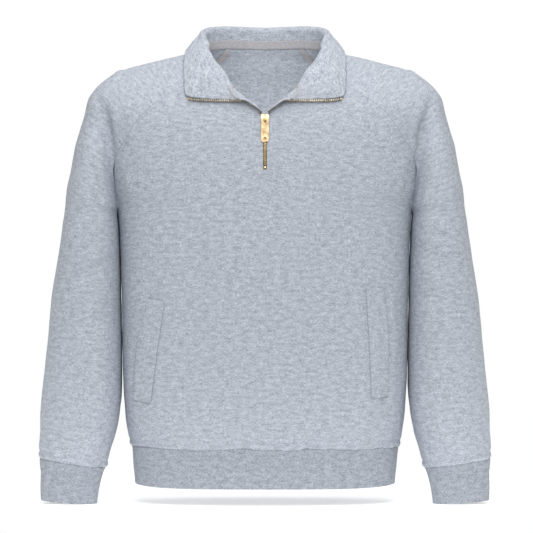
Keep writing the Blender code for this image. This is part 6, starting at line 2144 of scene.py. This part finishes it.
    def add_stitches(self, name: str, lines: Sequence[tuple[Array, Array]], slot: Slot) -> None:
        """One object of stitches."""
        self.wardrobe.add(STITCHING.sewn(name, lines, Finishes.THREAD), slot)

    def welt_lines(self) -> list[tuple[Array, Array]]:
        """The stitch line about 8 mm outside each welt's outer edge."""
        lines = []
        for table in (WELT_LEFT, WELT_RIGHT):
            edges = Pockets().welt_edges(table, 60)
            sign = np.sign(edges[0, 2])
            laid = on_front(edges[:, 2:3] + 8.0 * sign, edges[:, 3:4])
            points, normals = laid.points[:, 0], laid.normals[:, 0]
            lines.append((points + normals * (0.5 * FLEECE + 0.12), normals))
        return lines


# ------------------------------------------------------------------ studio

@dataclass(frozen=True)
class Studio:
    """Camera at the photograph's angle, soft light, a pale floor."""

    eye: tuple[float, float, float] = (0.0024, -5.0, -0.3305)
    lens: float = 213.07
    floor_height: float = -0.7035
    ambient: float = 0.5
    key_power: float = 36.0
    front_power: float = 5.5
    top_power: float = 23.0
    inside_power: float = 0.075
    floor_half: float = 1.6
    floor_near: float = -0.32
    floor_far: float = 0.8
    floor_tone: float = 0.93
    floor_glow: float = 0.54

    @staticmethod
    def area_light(name: str, place: tuple[float, float, float], aim: tuple[float, float, float],
                   size: float, power: float) -> None:
        """A square softbox aimed at a point, which the camera doesn't see."""
        data = bpy.data.lights.new(name, "AREA")
        data.size = size
        data.energy = power
        light = bpy.data.objects.new(name, data)
        away = np.array(place) - np.array(aim)
        light.location = place
        light.visible_camera = False
        flat = math.hypot(away[0], away[1])
        light.rotation_euler = (math.atan2(flat, away[2]), 0.0, math.atan2(away[0], -away[1]))
        bpy.context.scene.collection.objects.link(light)

    def floor(self) -> None:
        """A plain pale floor that isn't part of the object."""
        half, near, far, z = self.floor_half, self.floor_near, self.floor_far, self.floor_height
        mesh = bpy.data.meshes.new("floor")
        places = [(-half, near, z), (half, near, z), (half, far, z), (-half, far, z)]
        mesh.from_pydata(places, [], [(0, 1, 2, 3)])
        made = bpy.data.materials.new("floor")
        made.use_nodes = True
        shader = made.node_tree.nodes["Principled BSDF"]
        shader.inputs["Base Color"].default_value = (*[self.floor_tone] * 3, 1.0)
        shader.inputs["Roughness"].default_value = 1.0
        shader.inputs["Emission Color"].default_value = (1.0, 1.0, 1.0, 1.0)
        shader.inputs["Emission Strength"].default_value = self.floor_glow
        mesh.materials.append(made)
        floor = bpy.data.objects.new("floor", mesh)
        bpy.context.scene.collection.objects.link(floor)

    def world(self) -> None:
        """Even white light, seen by the camera as pure white."""
        world = bpy.data.worlds.new("studio")
        world.use_nodes = True
        nodes, links = world.node_tree.nodes, world.node_tree.links
        path = nodes.new("ShaderNodeLightPath")
        soft, plain = nodes["Background"], nodes.new("ShaderNodeBackground")
        for light, strength in ((soft, self.ambient), (plain, 1.0)):
            light.inputs["Color"].default_value = (1.0, 1.0, 1.0, 1.0)
            light.inputs["Strength"].default_value = strength
        mix = nodes.new("ShaderNodeMixShader")
        links.new(path.outputs["Is Camera Ray"], mix.inputs[0])
        links.new(soft.outputs[0], mix.inputs[1])
        links.new(plain.outputs[0], mix.inputs[2])
        links.new(mix.outputs[0], nodes["World Output"].inputs["Surface"])
        bpy.context.scene.world = world

    def set_up(self) -> None:
        """Lights, floor, world and camera."""
        self.area_light("key", (0.25, -2.6, 1.9), (0.0, 0.0, -0.3), 1.8, self.key_power)
        self.area_light("front", (0.0, -1.5, 0.45), (0.0, 0.0, -0.02), 0.8, self.front_power)
        self.area_light("top", (0.0, -0.45, 2.2), (0.0, 0.0, -0.1), 1.8, self.top_power)
        self.area_light("inside", (0.0, -0.03, -0.1), (0.0, 0.1, -0.03), 0.07, self.inside_power)
        self.floor()
        self.world()
        data = bpy.data.cameras.new("camera")
        data.lens = self.lens
        data.sensor_width = 36.0
        camera = bpy.data.objects.new("camera", data)
        camera.location = self.eye
        camera.rotation_euler = (math.radians(90.0), 0.0, 0.0)
        scene = bpy.context.scene
        scene.collection.objects.link(camera)
        scene.camera = camera
        scene.render.engine = "CYCLES"
        scene.render.resolution_x = 1066
        scene.render.resolution_y = 1066
        scene.view_settings.view_transform = "Standard"


def main() -> None:
    """Builds every piece, logging each cloth's area, and sets up the studio."""
    logging.basicConfig(level=logging.INFO, format="%(name)s %(message)s")
    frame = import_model()
    LOG.info("frame has %d nodes", len(frame["nodes"]))
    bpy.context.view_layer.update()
    garment = Garment()
    garment.build_panels()
    garment.build_neck()
    garment.build_ribs()
    garment.build_pockets()
    garment.build_zip()
    garment.sew()
    garment.wardrobe.declare()
    Studio().set_up()


if __name__ == "__main__":
    main()
